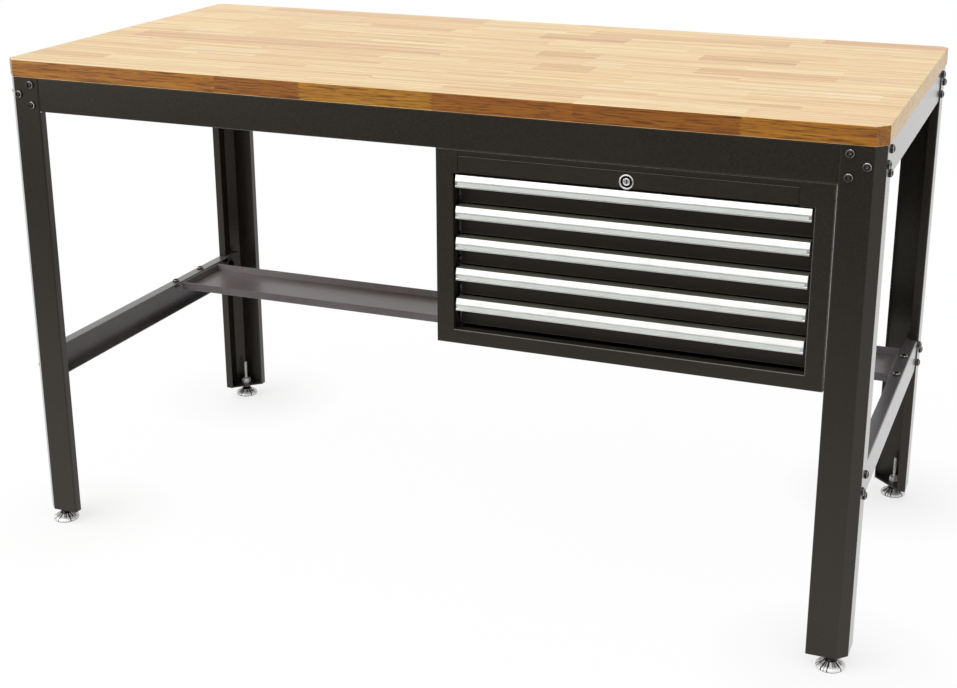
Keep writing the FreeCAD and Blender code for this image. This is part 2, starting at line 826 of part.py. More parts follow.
def make_runner_posts():
    """Upright channels on each side panel, front and back, that bring the runners to the opening."""
    front = panel_front + s.post_front
    back = panel_back - s.post_back - s.post_width
    low = chest_low + wall * 2
    high = chest_top - wall * 2
    for word, side in SIDES.items():
        root = chest_right - wall if side > 0 else -(chest_left + wall)
        face = open_right if side > 0 else -open_left
        posts = []
        for start in (front, back):
            end = start + s.post_width
            posts.append(plate_solid([
                (root * side, start), (face * side, start), (face * side, end), (root * side, end),
                (root * side, end - wall), ((face + wall) * side, end - wall),
                ((face + wall) * side, start + wall), (root * side, start + wall),
            ], low, high))
        group(f"runner_posts_{word}", posts)


def make_hangers(places):
    """Channels between the chest's top and the worktop, near the back."""
    solids = []
    for x, y in places:
        corner = FreeCAD.Vector((x - s.hanger_long / 2).value, y.value, chest_top.value)
        long = s.hanger_long.value
        flange = s.hanger_flange.value
        tall = s.rail_height.value
        thick = s.sheet.value
        block = Part.makeBox(long, flange, tall, corner)
        inside = corner + FreeCAD.Vector(-thick, thick, thick)
        solids.append(block.cut(Part.makeBox(long + thick * 2, flange, tall - thick * 2, inside)))
    return solids


hanger_y = panel_back - s.hanger_back
hanger_places = [(chest_left + s.hanger_in, hanger_y), (chest_right - s.hanger_in, hanger_y)]
hanger_middle = hanger_y + s.hanger_flange / 2 + s.sheet / 2


def chest_bolts():
    """Bolts up through the chest's top: two into the front rail and two into each hanger."""
    front = s.chest_bolt_front - web_y
    rail = [(chest_left + s.chest_bolt_in, front), (chest_right - s.chest_bolt_in, front)]
    quarter = s.hanger_long / 4
    hanger = [(x + quarter * step, hanger_middle) for x, y in hanger_places for step in (-1, 1)]
    return rail, hanger


def make_hanger_pieces():
    rail, hanger = chest_bolts()
    neck = s.chest_bolt_neck + s.hole_gap * 2
    solids = make_hangers(hanger_places)
    tools = [plate_solid(polygon(place, neck, 4), chest_top - s.overrun, chest_top + s.sheet + s.overrun)
             for place in hanger]
    tools += [plate_solid(polygon((x, hanger_middle), screw_hole, 6), frame_top - s.sheet - s.overrun,
                          frame_top + s.overrun) for x, y in hanger_places]
    group("chest_hangers", [solid.cut(tools) for solid in solids])
    grip = wall + s.sheet
    bolt = bolt_solid(s.chest_bolt_head, s.chest_bolt_head, s.chest_bolt_head_tall, s.chest_bolt_neck, grip)
    nut = hexagon_solid(s.chest_nut_across, -(grip + s.chest_nut_tall), -grip)
    level = chest_top - wall
    spots = [(x, y, level) for x, y in rail + hanger]
    group("chest_bolts", [placed(bolt, spot, (0, 0, -1)) for spot in spots])
    group("chest_nuts", [placed(nut, spot, (0, 0, -1)) for spot in spots])


# Drawers: a folded front with a recessed face, a pan behind it and a catch at the back

thin = s.drawer_sheet
face_y = chest_front + s.front_recess
lip_y = chest_front + s.handle_wall
front_left = open_left + s.front_side_gap
front_right = open_right - s.front_side_gap
pan_left = open_left + s.runner_space
pan_right = open_right - s.runner_space
pan_front = face_y + thin
pan_back = panel_back - s.pan_back_gap


def drawer_top(number):
    return open_high - s.drawer_top_gap - s.drawer_pitch * number


def drawer_low(number):
    return drawer_top(number) - s.drawer_pitch + s.drawer_gap


def pan_top(number):
    return drawer_top(number) - s.pan_top_gap


def pan_low(number):
    return drawer_low(number) + s.pan_floor_gap


def make_drawer(number):
    """A pan with a catch at its back, and the folded front that is welded to it."""
    top = drawer_top(number)
    low = drawer_low(number)
    drop = top - s.front_lip
    front = [
        (pan_front, low), (pan_front, top), (lip_y, top), (lip_y, drop), (lip_y + thin, drop),
        (lip_y + thin, top - thin), (face_y, top - thin), (face_y, low),
    ]
    facing = cross_solid(0, front, front_left, front_right)
    bends = edges_along(facing, 0, [(pan_front, top)])
    facing = facing.makeFillet(s.bend.value, [facing.getElement(name) for name in bends])
    floor = pan_low(number)
    rim = pan_top(number)
    pan = plate_solid(rectangle(pan_left, pan_right, pan_front, pan_back), floor, rim)
    inside = rectangle(pan_left + thin, pan_right - thin, pan_front + thin, pan_back - thin)
    pan = pan.cut(plate_solid(inside, floor + thin, rim + s.overrun))
    tip = pan_back + s.catch_reach
    catch = [
        (pan_back, rim), (tip, rim), (tip, rim - s.catch_drop), (tip - thin, rim - s.catch_drop),
        (tip - thin, rim - thin), (pan_back, rim - thin),
    ]
    hold = cross_solid(0, catch, lock_x - s.catch_half, lock_x + s.catch_half)
    group(f"drawer_{number + 1}", [pan.fuse(hold).removeSplitter(), facing])


def make_handle(number):
    """An extruded grip: a lip and a hook below, a flat band, a groove and a face that slants back."""
    body = new_body(f"handle_{number + 1}")
    top = drawer_top(number)
    low = top - s.handle_height
    y = chest_front
    band = y + s.handle_band_set
    groove = y + s.handle_groove_set
    rear = y + s.handle_wall
    hook = y + s.handle_hook
    skin = s.handle_skin
    outline = [
        (y, low), (y, low + s.handle_lip), (band, low + s.handle_lip + s.handle_band_set),
        (band, low + s.handle_band), (groove, low + s.handle_band), (groove, low + s.handle_groove),
        (y, low + s.handle_groove), (y + s.handle_slant, top), (rear, top), (rear, low + skin),
        (hook - skin, low + skin), (hook - skin, low + s.handle_hook_rise),
        (hook, low + s.handle_hook_rise), (hook, low),
    ]
    left = open_left + s.handle_side_gap
    right = open_right - s.handle_side_gap
    prism(body, "YZ", [outline], left, right)
    round_edges(body, 0, [(hook, low)], skin)


# Runners: the outer channels on the posts, the middle ones loose, the inner ones on the pans

runner_front = pan_front + s.runner_front_gap


def nested_channel(mouth, web, reach, half, middle, opening):
    """Outline of a channel across the runner: its web at web, its flanges reach towards the mouth."""
    thick = s.runner_sheet
    tip = web + reach * opening
    inner = web + thick * opening
    return [
        (web * mouth, middle - half), (tip * mouth, middle - half), (tip * mouth, middle - half + thick),
        (inner * mouth, middle - half + thick), (inner * mouth, middle + half - thick),
        (tip * mouth, middle + half - thick), (tip * mouth, middle + half), (web * mouth, middle + half),
    ]


def make_runners():
    thick = s.runner_sheet
    play = s.runner_play
    outer_half = s.runner_height / 2
    middle_half = outer_half - thick - play
    inner_half = middle_half - thick - play
    outers = {word: [] for word in SIDES}
    for number in range(DRAWERS):
        height = (pan_low(number) + pan_top(number)) / 2
        middles = []
        inners = []
        for word, side in SIDES.items():
            face = open_right if side > 0 else -open_left
            pan = pan_right if side > 0 else -pan_left
            outer = nested_channel(side, face, s.runner_reach, outer_half, height, -1)
            middle_web = face - thick - play
            reach = s.runner_reach - play
            middle = nested_channel(side, middle_web, reach, middle_half, height, -1)
            inner_reach = middle_web - thick - play - pan
            inner = nested_channel(side, pan, inner_reach, inner_half, height, 1)
            outers[word].append(cross_solid(1, outer, runner_front, pan_back))
            middles.append(cross_solid(1, middle, runner_front, pan_back))
            inners.append(cross_solid(1, inner, runner_front, pan_back))
        group(f"runner_middle_{number + 1}", middles)
        group(f"runner_inner_{number + 1}", inners)
    for word, solids in outers.items():
        group(f"runner_outer_{word}", solids)


# Lock: a barrel in the rail, a plug with a long rod to a crank at the back, and the bar it lifts

barrel_back = chest_front + s.lock_barrel_long
arm_front = panel_back - s.crank_back
bar_back = panel_back - s.bar_play
bar_front = bar_back - s.bar_thick


def make_lock_barrel():
    body = new_body("lock_barrel")
    centre = (lock_x, lock_z)
    rod(body, "XZ", centre, s.lock_ring, chest_front - s.lock_ring_out, chest_front)
    prism(body, "XZ", [polygon(centre, s.lock_barrel, BARREL_SIDES)], chest_front, barrel_back)
    bore = (centre, s.lock_plug + s.lock_play)
    cut(body, "XZ", [], chest_front - s.lock_ring_out - s.overrun, barrel_back + s.overrun, [bore])


def make_lock_plug():
    body = new_body("lock_plug")
    front = chest_front - s.lock_ring_out + s.plug_set
    rod(body, "XZ", (lock_x, lock_z), s.lock_plug, front, barrel_back)
    key = rectangle(lock_x - s.key_wide / 2, lock_x + s.key_wide / 2,
                    lock_z - s.key_tall / 2, lock_z + s.key_tall / 2)
    cut(body, "XZ", [key], front - s.overrun, chest_front)


def make_lock_rod():
    """The plug's tail, an arm at the back and the crank pin on it."""
    body = new_body("lock_rod")
    arm_back = arm_front + s.crank_thick
    rod(body, "XZ", (lock_x, lock_z), s.lock_rod, barrel_back, arm_front)
    x = lock_x + s.crank_throw
    z = lock_z - s.crank_throw
    arm = rectangle(lock_x - s.lock_rod, x + s.crank_pin, z - s.crank_pin, lock_z + s.lock_rod)
    prism(body, "XZ", [arm], arm_front, arm_back)
    rod(body, "XZ", (x, z), s.crank_pin, arm_back, bar_back)


def make_lock_bar():
    """The bar that the crank lifts, with a hook under each drawer's catch."""
    body = new_body("lock_bar")
    low = pan_top(DRAWERS - 1) - s.guide_drop - s.guide_tall
    high = lock_z + s.bar_above
    strip = rectangle(lock_x - s.bar_half, lock_x + s.bar_half, low, high)
    prism(body, "XZ", [strip], bar_front, bar_back)
    throw = s.crank_throw
    half = s.crank_pin + s.pin_play
    left = lock_x + throw - half
    right = lock_x + throw * math.sqrt(2) + half
    slot = rectangle(left, right, lock_z - throw - half, lock_z - throw + half)
    cut(body, "XZ", [slot], bar_front - s.overrun, bar_back + s.overrun)
    tip = bar_front - s.hook_reach
    for number in range(DRAWERS):
        foot = pan_top(number) - s.hook_drop
        hook = [
            (bar_front, foot), (tip, foot), (tip, foot + s.hook_rise),
            (tip + s.hook_lip, foot + s.hook_rise), (tip + s.hook_lip, foot + s.bar_thick),
            (bar_front, foot + s.bar_thick),
        ]
        prism(body, "YZ", [hook], lock_x - s.hook_half, lock_x + s.hook_half)


# The whole bench

def build():
    hanger_screws = [(x, hanger_middle) for x, y in hanger_places]
    rail, hanger = chest_bolts()
    neck = s.chest_bolt_neck + s.hole_gap * 2
    make_worktop(hanger_screws)
    for name, (side, end) in CORNERS.items():
        make_leg(f"leg_{name}", side, end)
        make_foot(f"foot_{name}", side, end)
    make_rails([polygon(place, neck, 4) for place in rail])
    make_tray()
    make_foot_plates()
    make_frame_fasteners()
    make_worktop_screws(hanger_screws)
    make_face_frame()
    make_lock_rail()
    for word, side in SIDES.items():
        make_chest_side(word, side)
    make_chest_panels([polygon(place, neck, 4) for place in rail + hanger])
    make_runner_posts()
    make_hanger_pieces()
    for number in range(DRAWERS):
        make_drawer(number)
        make_handle(number)
    make_runners()
    make_lock_barrel()
    make_lock_plug()
    make_lock_rod()
    make_lock_bar()


def check_model():
    """Every object is sound, every cut has removed material, and every piece is a valid solid."""
    for item in doc.Objects:
        if "Invalid" in item.State or "Error" in item.State:
            raise RuntimeError(f"{item.Name} is {item.State}")
        if item.TypeId == "PartDesign::Pocket" and item.Shape.Volume >= item.BaseFeature.Shape.Volume:
            raise RuntimeError(f"{item.Name} cuts nothing")
    pieces = [item for item in doc.Objects if item.TypeId in ("PartDesign::Body", "Part::Feature")]
    for piece in pieces:
        if piece.Shape.isNull() or not piece.Shape.isValid() or not piece.Shape.Solids:
            raise RuntimeError(f"{piece.Label} has no sound shape")
    return pieces


build()
doc.recompute()
pieces = check_model()
os.makedirs("parts", exist_ok=True)
for piece in pieces:
    piece.Shape.exportStep(f"parts/{piece.Label}.step")
print(f"{len(pieces)} pieces")
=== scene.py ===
# %% [markdown]
# # Dressing a workbench
# The bench is a laminated wooden top on a folded steel frame, with a chest of five shallow drawers
# hung under one end. Its measured solids are loaded first as a fixed frame, and every piece below
# is modelled over them in metres. The pieces could also be modelled apart and moved into place
# later, but when each starts from the box of its measured part, nothing has to be fitted by eye.

# %% Load the measured frame
import json
import math
import random

import bpy
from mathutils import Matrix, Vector


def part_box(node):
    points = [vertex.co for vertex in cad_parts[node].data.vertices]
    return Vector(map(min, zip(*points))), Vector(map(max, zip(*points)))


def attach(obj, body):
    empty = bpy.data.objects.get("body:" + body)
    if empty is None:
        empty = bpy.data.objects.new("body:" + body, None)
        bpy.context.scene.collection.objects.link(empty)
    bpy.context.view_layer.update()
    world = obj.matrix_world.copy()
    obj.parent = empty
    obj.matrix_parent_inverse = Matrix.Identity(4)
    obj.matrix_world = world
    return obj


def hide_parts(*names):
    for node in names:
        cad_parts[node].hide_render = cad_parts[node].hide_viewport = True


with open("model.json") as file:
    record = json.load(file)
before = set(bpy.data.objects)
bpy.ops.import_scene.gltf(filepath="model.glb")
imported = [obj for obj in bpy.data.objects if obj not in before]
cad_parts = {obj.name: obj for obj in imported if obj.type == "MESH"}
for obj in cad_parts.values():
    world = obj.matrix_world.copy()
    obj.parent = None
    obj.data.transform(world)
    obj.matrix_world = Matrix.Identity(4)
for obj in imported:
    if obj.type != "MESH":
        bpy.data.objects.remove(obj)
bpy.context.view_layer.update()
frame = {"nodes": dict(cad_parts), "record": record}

# %% [markdown]
# ## The camera
# The photograph was taken from the front, a little to the right and from standing height, with a
# lens of about 60 mm. A camera can be turned by eye until the edges agree, but an error of one
# degree already moves the far leg by many pixels, so its place, turn and lens were solved from the
# corners of the bench. A small shift stands in for the crop of the picture.

# %% Camera
CAMERA_PLACE = (1.05547, -2.65081, 1.37887)
LOOK_DOWN = 0.3223
LOOK_LEFT = 0.3747
camera_data = bpy.data.cameras.new("camera")
camera = bpy.data.objects.new("camera", camera_data)
bpy.context.scene.collection.objects.link(camera)
camera.location = CAMERA_PLACE
camera.rotation_euler = (math.pi / 2 - LOOK_DOWN, 0, LOOK_LEFT)
camera_data.sensor_width = 36
camera_data.lens = 60.28
camera_data.shift_x = -0.0148
camera_data.shift_y = -0.0469
bpy.context.scene.camera = camera
bpy.context.scene.view_settings.view_transform = "Standard"
print("camera", tuple(round(v, 3) for v in camera.location))

# %% [markdown]
# ## Choosing parts of a mesh
# Everything below is modelled as by hand: a simple shape is added, then its faces and edges are
# chosen and pushed. By hand one points at them with the mouse. A script could pick them by their
# numbers, but these change with every cut, so here they are picked by their place or direction. A
# test gets the middle of each point, edge or face and the way it faces, or runs for an edge.

# %% Helpers for choosing
CHOICES = {"points": 0, "edges": 1, "faces": 2}
MOSTLY = 0.9


def leave_edit():
    if bpy.context.mode != "OBJECT":
        bpy.ops.object.mode_set(mode="OBJECT")


def only(piece):
    """Makes a piece the only one selected."""
    leave_edit()
    bpy.ops.object.select_all(action="DESELECT")
    piece.select_set(True)
    bpy.context.view_layer.objects.active = piece


def choose(piece, kind, test):
    """Opens a piece with only the points, edges or faces chosen that pass the test."""
    only(piece)
    mesh = piece.data
    for group in (mesh.vertices, mesh.edges, mesh.polygons):
        for part in group:
            part.select = False
    if kind == "points":
        parts = [(part, part.co, part.normal) for part in mesh.vertices]
    elif kind == "edges":
        points = [point.co.copy() for point in mesh.vertices]
        ends = [(part, points[part.vertices[0]], points[part.vertices[1]]) for part in mesh.edges]
        parts = [(part, (a + b) / 2, (b - a).normalized()) for part, a, b in ends]
    else:
        parts = [(part, part.center, part.normal) for part in mesh.polygons]
    for part, middle, direction in parts:
        if test(middle, direction):
            part.select = True
    bpy.context.tool_settings.mesh_select_mode = [CHOICES[kind] == k for k in range(3)]
    bpy.ops.object.mode_set(mode="EDIT")


def near(a, b, within=1e-5):
    return abs(a - b) < within


def everything(middle, direction):
    return True


def facing_up(middle, direction):
    return direction.z > MOSTLY


def facing_down(middle, direction):
    return direction.z < -MOSTLY


def facing_front(middle, direction):
    return direction.y < -MOSTLY


print("mesh parts that can be chosen", list(CHOICES))

# %% [markdown]
# ## Starting a piece
# Most parts of the bench are blocks, round bars, or sheet with one section all along. Blocks and bars
# start from Blender's own primitives. A section could come from a list of points turned into a mesh
# in one go, but drawing it out point by point, as with the E key, shows how an outline grows into
# a face and the face into a length. The first point is a tiny plane merged into its middle.

# %% Helpers for starting a piece
SEED = 0.001
SAME_SPOT = 1e-6


def settle(piece):
    """Moves a piece's place, turn and scale into its mesh."""
    only(piece)
    bpy.ops.object.transform_apply(location=True, rotation=True, scale=True)


def start_block(name, one, other):
    """A block between two opposite corners."""
    leave_edit()
    bpy.ops.object.select_all(action="DESELECT")
    low = Vector([min(pair) for pair in zip(one, other)])
    high = Vector([max(pair) for pair in zip(one, other)])
    bpy.ops.mesh.primitive_cube_add(size=1, location=(low + high) / 2, scale=high - low)
    piece = bpy.context.object
    piece.name = name
    settle(piece)
    return piece


def start_bar(name, sides, radius, length, middle, turn=(0, 0, 0)):
    """A bar with the given number of sides, upright unless it is turned."""
    leave_edit()
    bpy.ops.object.select_all(action="DESELECT")
    bpy.ops.mesh.primitive_cylinder_add(
        vertices=sides, radius=radius, depth=length, location=middle, rotation=turn)
    piece = bpy.context.object
    piece.name = name
    settle(piece)
    return piece


def start_point(name, place):
    """A piece that is one chosen point."""
    leave_edit()
    bpy.ops.object.select_all(action="DESELECT")
    bpy.ops.mesh.primitive_plane_add(size=SEED, location=place)
    piece = bpy.context.object
    piece.name = name
    settle(piece)
    choose(piece, "points", everything)
    bpy.ops.mesh.merge(type="CENTER")
    return piece


def extrude(step):
    """Draws what is chosen out by a step. The new end is chosen afterwards."""
    bpy.ops.mesh.extrude_region_move(TRANSFORM_OT_translate={"value": step})


def draw_line(points):
    """Draws a line on from the first point, which is already there, and chooses all of it."""
    for start, end in zip(points, points[1:]):
        extrude(Vector(end) - Vector(start))
    bpy.ops.mesh.select_all(action="SELECT")


def draw_section(name, outline):
    """A flat face inside a closed outline, ready to be pulled into a length."""
    piece = start_point(name, outline[0])
    draw_line(outline + outline[:1])
    bpy.ops.mesh.remove_doubles(threshold=SAME_SPOT)
    bpy.ops.mesh.edge_face_add()
    return piece


def pull(step):
    """Pulls the chosen face into a solid length and turns all faces outwards."""
    extrude(step)
    bpy.ops.mesh.select_all(action="SELECT")
    bpy.ops.mesh.normals_make_consistent(inside=False)
    leave_edit()


print("a seed is", SEED, "m wide")

# %% [markdown]
# ## Shaping a piece
# Real edges are never quite sharp, so bends are rounded and cut edges eased with bevels: on chosen
# edges where only some are round, or as a modifier on all edges past an angle. Holes could be cut
# by hand with new edges and deleted faces, but a Boolean modifier with a plain tool gives a clean
# closed mesh. Turned parts are half an outline spun about an axis. A second finish, such as a
# painted highlight on an edge, is given to faces of the same piece, so that no extra sheet has to
# lie on it.

# %% Helpers for shaping
ALONG = 0.99
ON_SPOT = 1e-4
EASED = 0.0003


def bevel_chosen(width, segments=1):
    """Cuts the chosen edges back: flat with one segment, round with more."""
    bpy.ops.mesh.bevel(offset=width, offset_type="OFFSET", segments=segments, affect="EDGES")
    leave_edit()


def round_along(piece, axis, spots, radius, segments=3):
    """Rounds the edges parallel to an axis that pass through the given spots of its cross plane."""
    first, second = [k for k in range(3) if k != axis]

    def chosen(middle, direction):
        on_spot = any(near(middle[first], a, ON_SPOT) and near(middle[second], b, ON_SPOT) for a, b in spots)
        return on_spot and abs(direction[axis]) > ALONG

    choose(piece, "edges", chosen)
    bevel_chosen(radius, segments)


def hollow(piece, wall, height):
    """Sinks the top of a block down to a floor as thick as the walls that it leaves."""
    choose(piece, "faces", facing_up)
    bpy.ops.mesh.inset(thickness=wall)
    extrude((0, 0, wall - height))
    leave_edit()


def carve(piece, tool, operation="DIFFERENCE"):
    """Takes the space of a tool away from a piece, or welds the tool on, and removes the tool."""
    only(piece)
    change = piece.modifiers.new("carve", "BOOLEAN")
    change.object = tool
    change.operation = operation
    change.solver = "EXACT"
    bpy.ops.object.modifier_apply(modifier=change.name)
    bpy.data.objects.remove(tool)


def ease(piece, width=EASED, angle=50):
    """Breaks the sharp edges of a piece a little."""
    only(piece)
    soften = piece.modifiers.new("ease", "BEVEL")
    soften.width = width
    soften.segments = 2
    soften.limit_method = "ANGLE"
    soften.angle_limit = math.radians(angle)
    bpy.ops.object.modifier_apply(modifier=soften.name)


def spun(name, outline, steps, centre, axis):
    """A round piece from half of its outline, in pairs of a radius and a height along the axis."""
    points = [centre + Vector((reach, 0, 0)) + height * axis for reach, height in outline]
    piece = start_point(name, points[0])
    draw_line(points)
    bpy.ops.mesh.spin(steps=steps, angle=2 * math.pi, center=centre, axis=axis)
    bpy.ops.mesh.select_all(action="SELECT")
    bpy.ops.mesh.remove_doubles(threshold=SAME_SPOT)
    bpy.ops.mesh.normals_make_consistent(inside=False)
    leave_edit()
    return piece


def paint(piece, finish, test):
    """Gives a further finish to the faces that pass the test."""
    piece.data.materials.append(finish)
    number = len(piece.data.materials) - 1
    count = 0
    for part in piece.data.polygons:
        if test(part.center, part.normal):
            part.material_index = number
            count += 1
    print(piece.name, "faces in", finish.name, count)


print("edges are eased by", EASED, "m")

# %% [markdown]
# ## Copying and finishing a piece
# What repeats on the bench is modelled once and copied, as a workshop makes one jig for four legs.
# Copies could share one mesh, but each gets its own, because a part that moves must be free to
# keep its own place in its mesh. Each finished piece is smoothed where its faces meet gently. Plain
# smooth shading would leave false shades across the flats beside a round, so its normals are
# weighted by the size of the faces. Last, it is told which body it rides on.

# %% Helpers for copying and finishing
def twin(piece, name, turn=(0, 0, 0), step=(0, 0, 0), mirror_x=False):
    """A copy with its own mesh, turned about the middle of the bench's floor, moved or mirrored."""
    only(piece)
    bpy.ops.object.duplicate(linked=False)
    copy = bpy.context.object
    copy.name = name
    copy.rotation_euler = turn
    copy.location = step
    if mirror_x:
        copy.scale = (-1, 1, 1)
    settle(copy)
    if mirror_x:
        choose(copy, "faces", everything)
        bpy.ops.mesh.normals_make_consistent(inside=False)
        leave_edit()
    return copy


def finish_piece(piece, body, material, smooth=30):
    """Smooths gentle angles, and gives a piece its finish and the body that it rides on."""
    only(piece)
    bpy.ops.object.shade_smooth_by_angle(angle=math.radians(smooth))
    even = piece.modifiers.new("even", "WEIGHTED_NORMAL")
    even.keep_sharp = True
    bpy.ops.object.modifier_apply(modifier=even.name)
    if not piece.data.materials:
        piece.data.materials.append(material)
    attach(piece, body)


def report(piece):
    """Prints a piece's size in millimetres and how many faces it has."""
    corners = [piece.matrix_world @ Vector(corner) for corner in piece.bound_box]
    size = [max(c[k] for c in corners) - min(c[k] for c in corners) for k in range(3)]
    print(piece.name, "size mm", [round(1000 * v, 1) for v in size], "faces", len(piece.data.polygons))


def middle_of(node):
    """The middle of a measured part's box, along each axis."""
    low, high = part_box(node)
    return [(a + b) / 2 for a, b in zip(low, high)]


print("middle of the top", [round(v, 3) for v in middle_of("worktop")])

# %% [markdown]
# ## Finishes
# Each finish is a small net of nodes that reads the place on the object itself, so that it stays
# put when the bench is turned or a drawer slides. Painted pictures would need every sheet laid flat
# first, while noise fills any shape. Noise at two or three sizes does most of the work: a slow one
# drifts the colour, a finer one breaks up the gloss, and the finest is the tooth of the surface.

# %% Helpers for finishes
def new_finish(name):
    finish = bpy.data.materials.new(name)
    finish.use_nodes = True
    return finish, finish.node_tree, finish.node_tree.nodes["Principled BSDF"]


def place_on_object(tree, scale=(1, 1, 1)):
    """The place on the object, stretched by a scale along each axis."""
    where = tree.nodes.new("ShaderNodeTexCoord")
    stretch = tree.nodes.new("ShaderNodeMapping")
    stretch.inputs["Scale"].default_value = scale
    tree.links.new(where.outputs["Object"], stretch.inputs["Vector"])
    return stretch.outputs["Vector"]


def add_noise(tree, place, scale, detail=3.0, roughness=0.5):
    """Cloudy noise. The scale is about how many lumps fit in a metre."""
    noise = tree.nodes.new("ShaderNodeTexNoise")
    noise.inputs["Scale"].default_value = scale
    noise.inputs["Detail"].default_value = detail
    noise.inputs["Roughness"].default_value = roughness
    tree.links.new(place, noise.inputs["Vector"])
    return noise.outputs["Fac"]


def spread(tree, value, low, high, from_low=0.3, from_high=0.7):
    """Stretches a value, such as a noise, to run from low to high."""
    change = tree.nodes.new("ShaderNodeMapRange")
    change.inputs["From Min"].default_value = from_low
    change.inputs["From Max"].default_value = from_high
    change.inputs["To Min"].default_value = low
    change.inputs["To Max"].default_value = high
    tree.links.new(value, change.inputs["Value"])
    return change.outputs["Result"]


def join_values(tree, operation, first, second):
    """One number from two node outputs, such as their product or the larger one."""
    node = tree.nodes.new("ShaderNodeMath")
    node.operation = operation
    tree.links.new(first, node.inputs[0])
    tree.links.new(second, node.inputs[1])
    return node.outputs[0]


def blend_colours(tree, factor, first, second, kind="MIX"):
    """Mixes two colours by an output. Each is a plain colour or another node's output."""
    mix = tree.nodes.new("ShaderNodeMix")
    mix.data_type = "RGBA"
    mix.blend_type = kind
    for socket, value in ((mix.inputs[0], factor), (mix.inputs[6], first), (mix.inputs[7], second)):
        if isinstance(value, bpy.types.NodeSocket):
            tree.links.new(value, socket)
        else:
            socket.default_value = (*value, 1)
    return mix.outputs[2]


def blend_shaders(tree, factor, first, second):
    """The first shader where the factor is 0, the second where it is 1."""
    mix = tree.nodes.new("ShaderNodeMixShader")
    for socket, value in zip(mix.inputs, (factor, first, second)):
        tree.links.new(value, socket)
    return mix.outputs[0]


def add_bump(tree, shader, heights):
    """Bumps in a chain, from pairs of a height value and a depth in metres."""
    normal = None
    for height, depth in heights:
        bump = tree.nodes.new("ShaderNodeBump")
        bump.inputs["Strength"].default_value = 1.0
        bump.inputs["Distance"].default_value = depth
        tree.links.new(height, bump.inputs["Height"])
        if normal:
            tree.links.new(normal, bump.inputs["Normal"])
        normal = bump.outputs["Normal"]
    tree.links.new(normal, shader.inputs["Normal"])


def seen_directly(tree):
    """1 for rays from the camera, a gloss or through glass, 0 for light that falls on things."""
    path = tree.nodes.new("ShaderNodeLightPath")
    first = join_values(tree, "MAXIMUM", path.outputs["Is Camera Ray"], path.outputs["Is Glossy Ray"])
    return join_values(tree, "MAXIMUM", first, path.outputs["Is Transmission Ray"])


print("materials so far", len(bpy.data.materials))

# %% [markdown]
# ## Sky
# The photograph is pure white all round, and its light comes softly from every side. One white
# background could do both, but then the pale wood burns out. So the camera sees a full white, while
# the light that the sky sheds on things is half as strong.

# %% Sky
SKY_LIGHT = 0.5
SKY_SEEN = 1.0
world = bpy.data.worlds.new("sky")
bpy.context.scene.world = world
world.use_nodes = True
sky = world.node_tree
sky.nodes.clear()


def white_sky(strength):
    white = sky.nodes.new("ShaderNodeBackground")
    white.inputs["Color"].default_value = (1, 1, 1, 1)
    white.inputs["Strength"].default_value = strength
    return white.outputs[0]


either = blend_shaders(sky, seen_directly(sky), white_sky(SKY_LIGHT), white_sky(SKY_SEEN))
sky_out = sky.nodes.new("ShaderNodeOutputWorld")
sky.links.new(either, sky_out.inputs["Surface"])
print("sky nodes", len(sky.nodes))

# %% [markdown]
# ## Floor
# The bench stands on plain white paper. A white plane alone would look grey away from the light, so
# it also glows for the camera, a little less near the feet, where a faint shadow has to show that
# they stand on it. In a gloss the paper fades towards the camera, where the room is dim, which is
# why the upright coated faces look almost black.

# %% Floor
FLOOR_WIDE = 40
FEET_SHARE, OPEN_SHARE = 0.72, 0.975
SHADOW_NEAR, SHADOW_FAR = 0.02, 0.22
DIM_AT, BRIGHT_AT = -2.4, -1.0
PAPER_GLOW, DIM_ROOM = 1.0, 0.10
bpy.ops.object.select_all(action="DESELECT")
bpy.ops.mesh.primitive_plane_add(size=FLOOR_WIDE, location=(0, 0, 0))
floor = bpy.context.object
floor.name = "paper_floor"
paper, tree, matt = new_finish("white_paper")
matt.inputs["Base Color"].default_value = (0.9, 0.9, 0.9, 1)
matt.inputs["Roughness"].default_value = 0.9
matt.inputs["Specular IOR Level"].default_value = 0.1


def white_glow(strength):
    white = tree.nodes.new("ShaderNodeEmission")
    white.inputs["Strength"].default_value = strength
    return white.outputs[0]


def distance_to_feet():
    """How far a spot of the floor is from the nearest foot, in metres."""
    corner = tree.nodes.new("ShaderNodeVectorMath")
    corner.operation = "ABSOLUTE"
    tree.links.new(place_on_object(tree), corner.inputs[0])
    gap = tree.nodes.new("ShaderNodeVectorMath")
    gap.operation = "DISTANCE"
    tree.links.new(corner.outputs["Vector"], gap.inputs[0])
    gap.inputs[1].default_value = (*middle_of("foot_rear_right")[:2], 0)
    return gap.outputs["Value"]


share = spread(tree, distance_to_feet(), FEET_SHARE, OPEN_SHARE, SHADOW_NEAR, SHADOW_FAR)
seen_share = join_values(tree, "MULTIPLY", seen_directly(tree), share)
bright_paper = blend_shaders(tree, seen_share, matt.outputs[0], white_glow(PAPER_GLOW))
along = tree.nodes.new("ShaderNodeSeparateXYZ")
tree.links.new(place_on_object(tree), along.inputs[0])
towards_camera = spread(tree, along.outputs["Y"], 1.0, 0.0, DIM_AT, BRIGHT_AT)
path = tree.nodes.new("ShaderNodeLightPath")
in_gloss = join_values(tree, "MULTIPLY", path.outputs["Is Glossy Ray"], towards_camera)
fading = blend_shaders(tree, in_gloss, bright_paper, white_glow(DIM_ROOM))
tree.links.new(fading, tree.nodes["Material Output"].inputs["Surface"])
floor.data.materials.append(paper)
print("floor", floor.dimensions.x, "m wide")

# %% [markdown]
# ## Lamps
# A broad sun from above lights the whole floor evenly and draws a soft shadow. A large area lamp
# could do it too, but its light would fall off along a bench of this length. One weak area lamp on
# the left puts a sheen on the left faces of the legs, as the photograph has it.

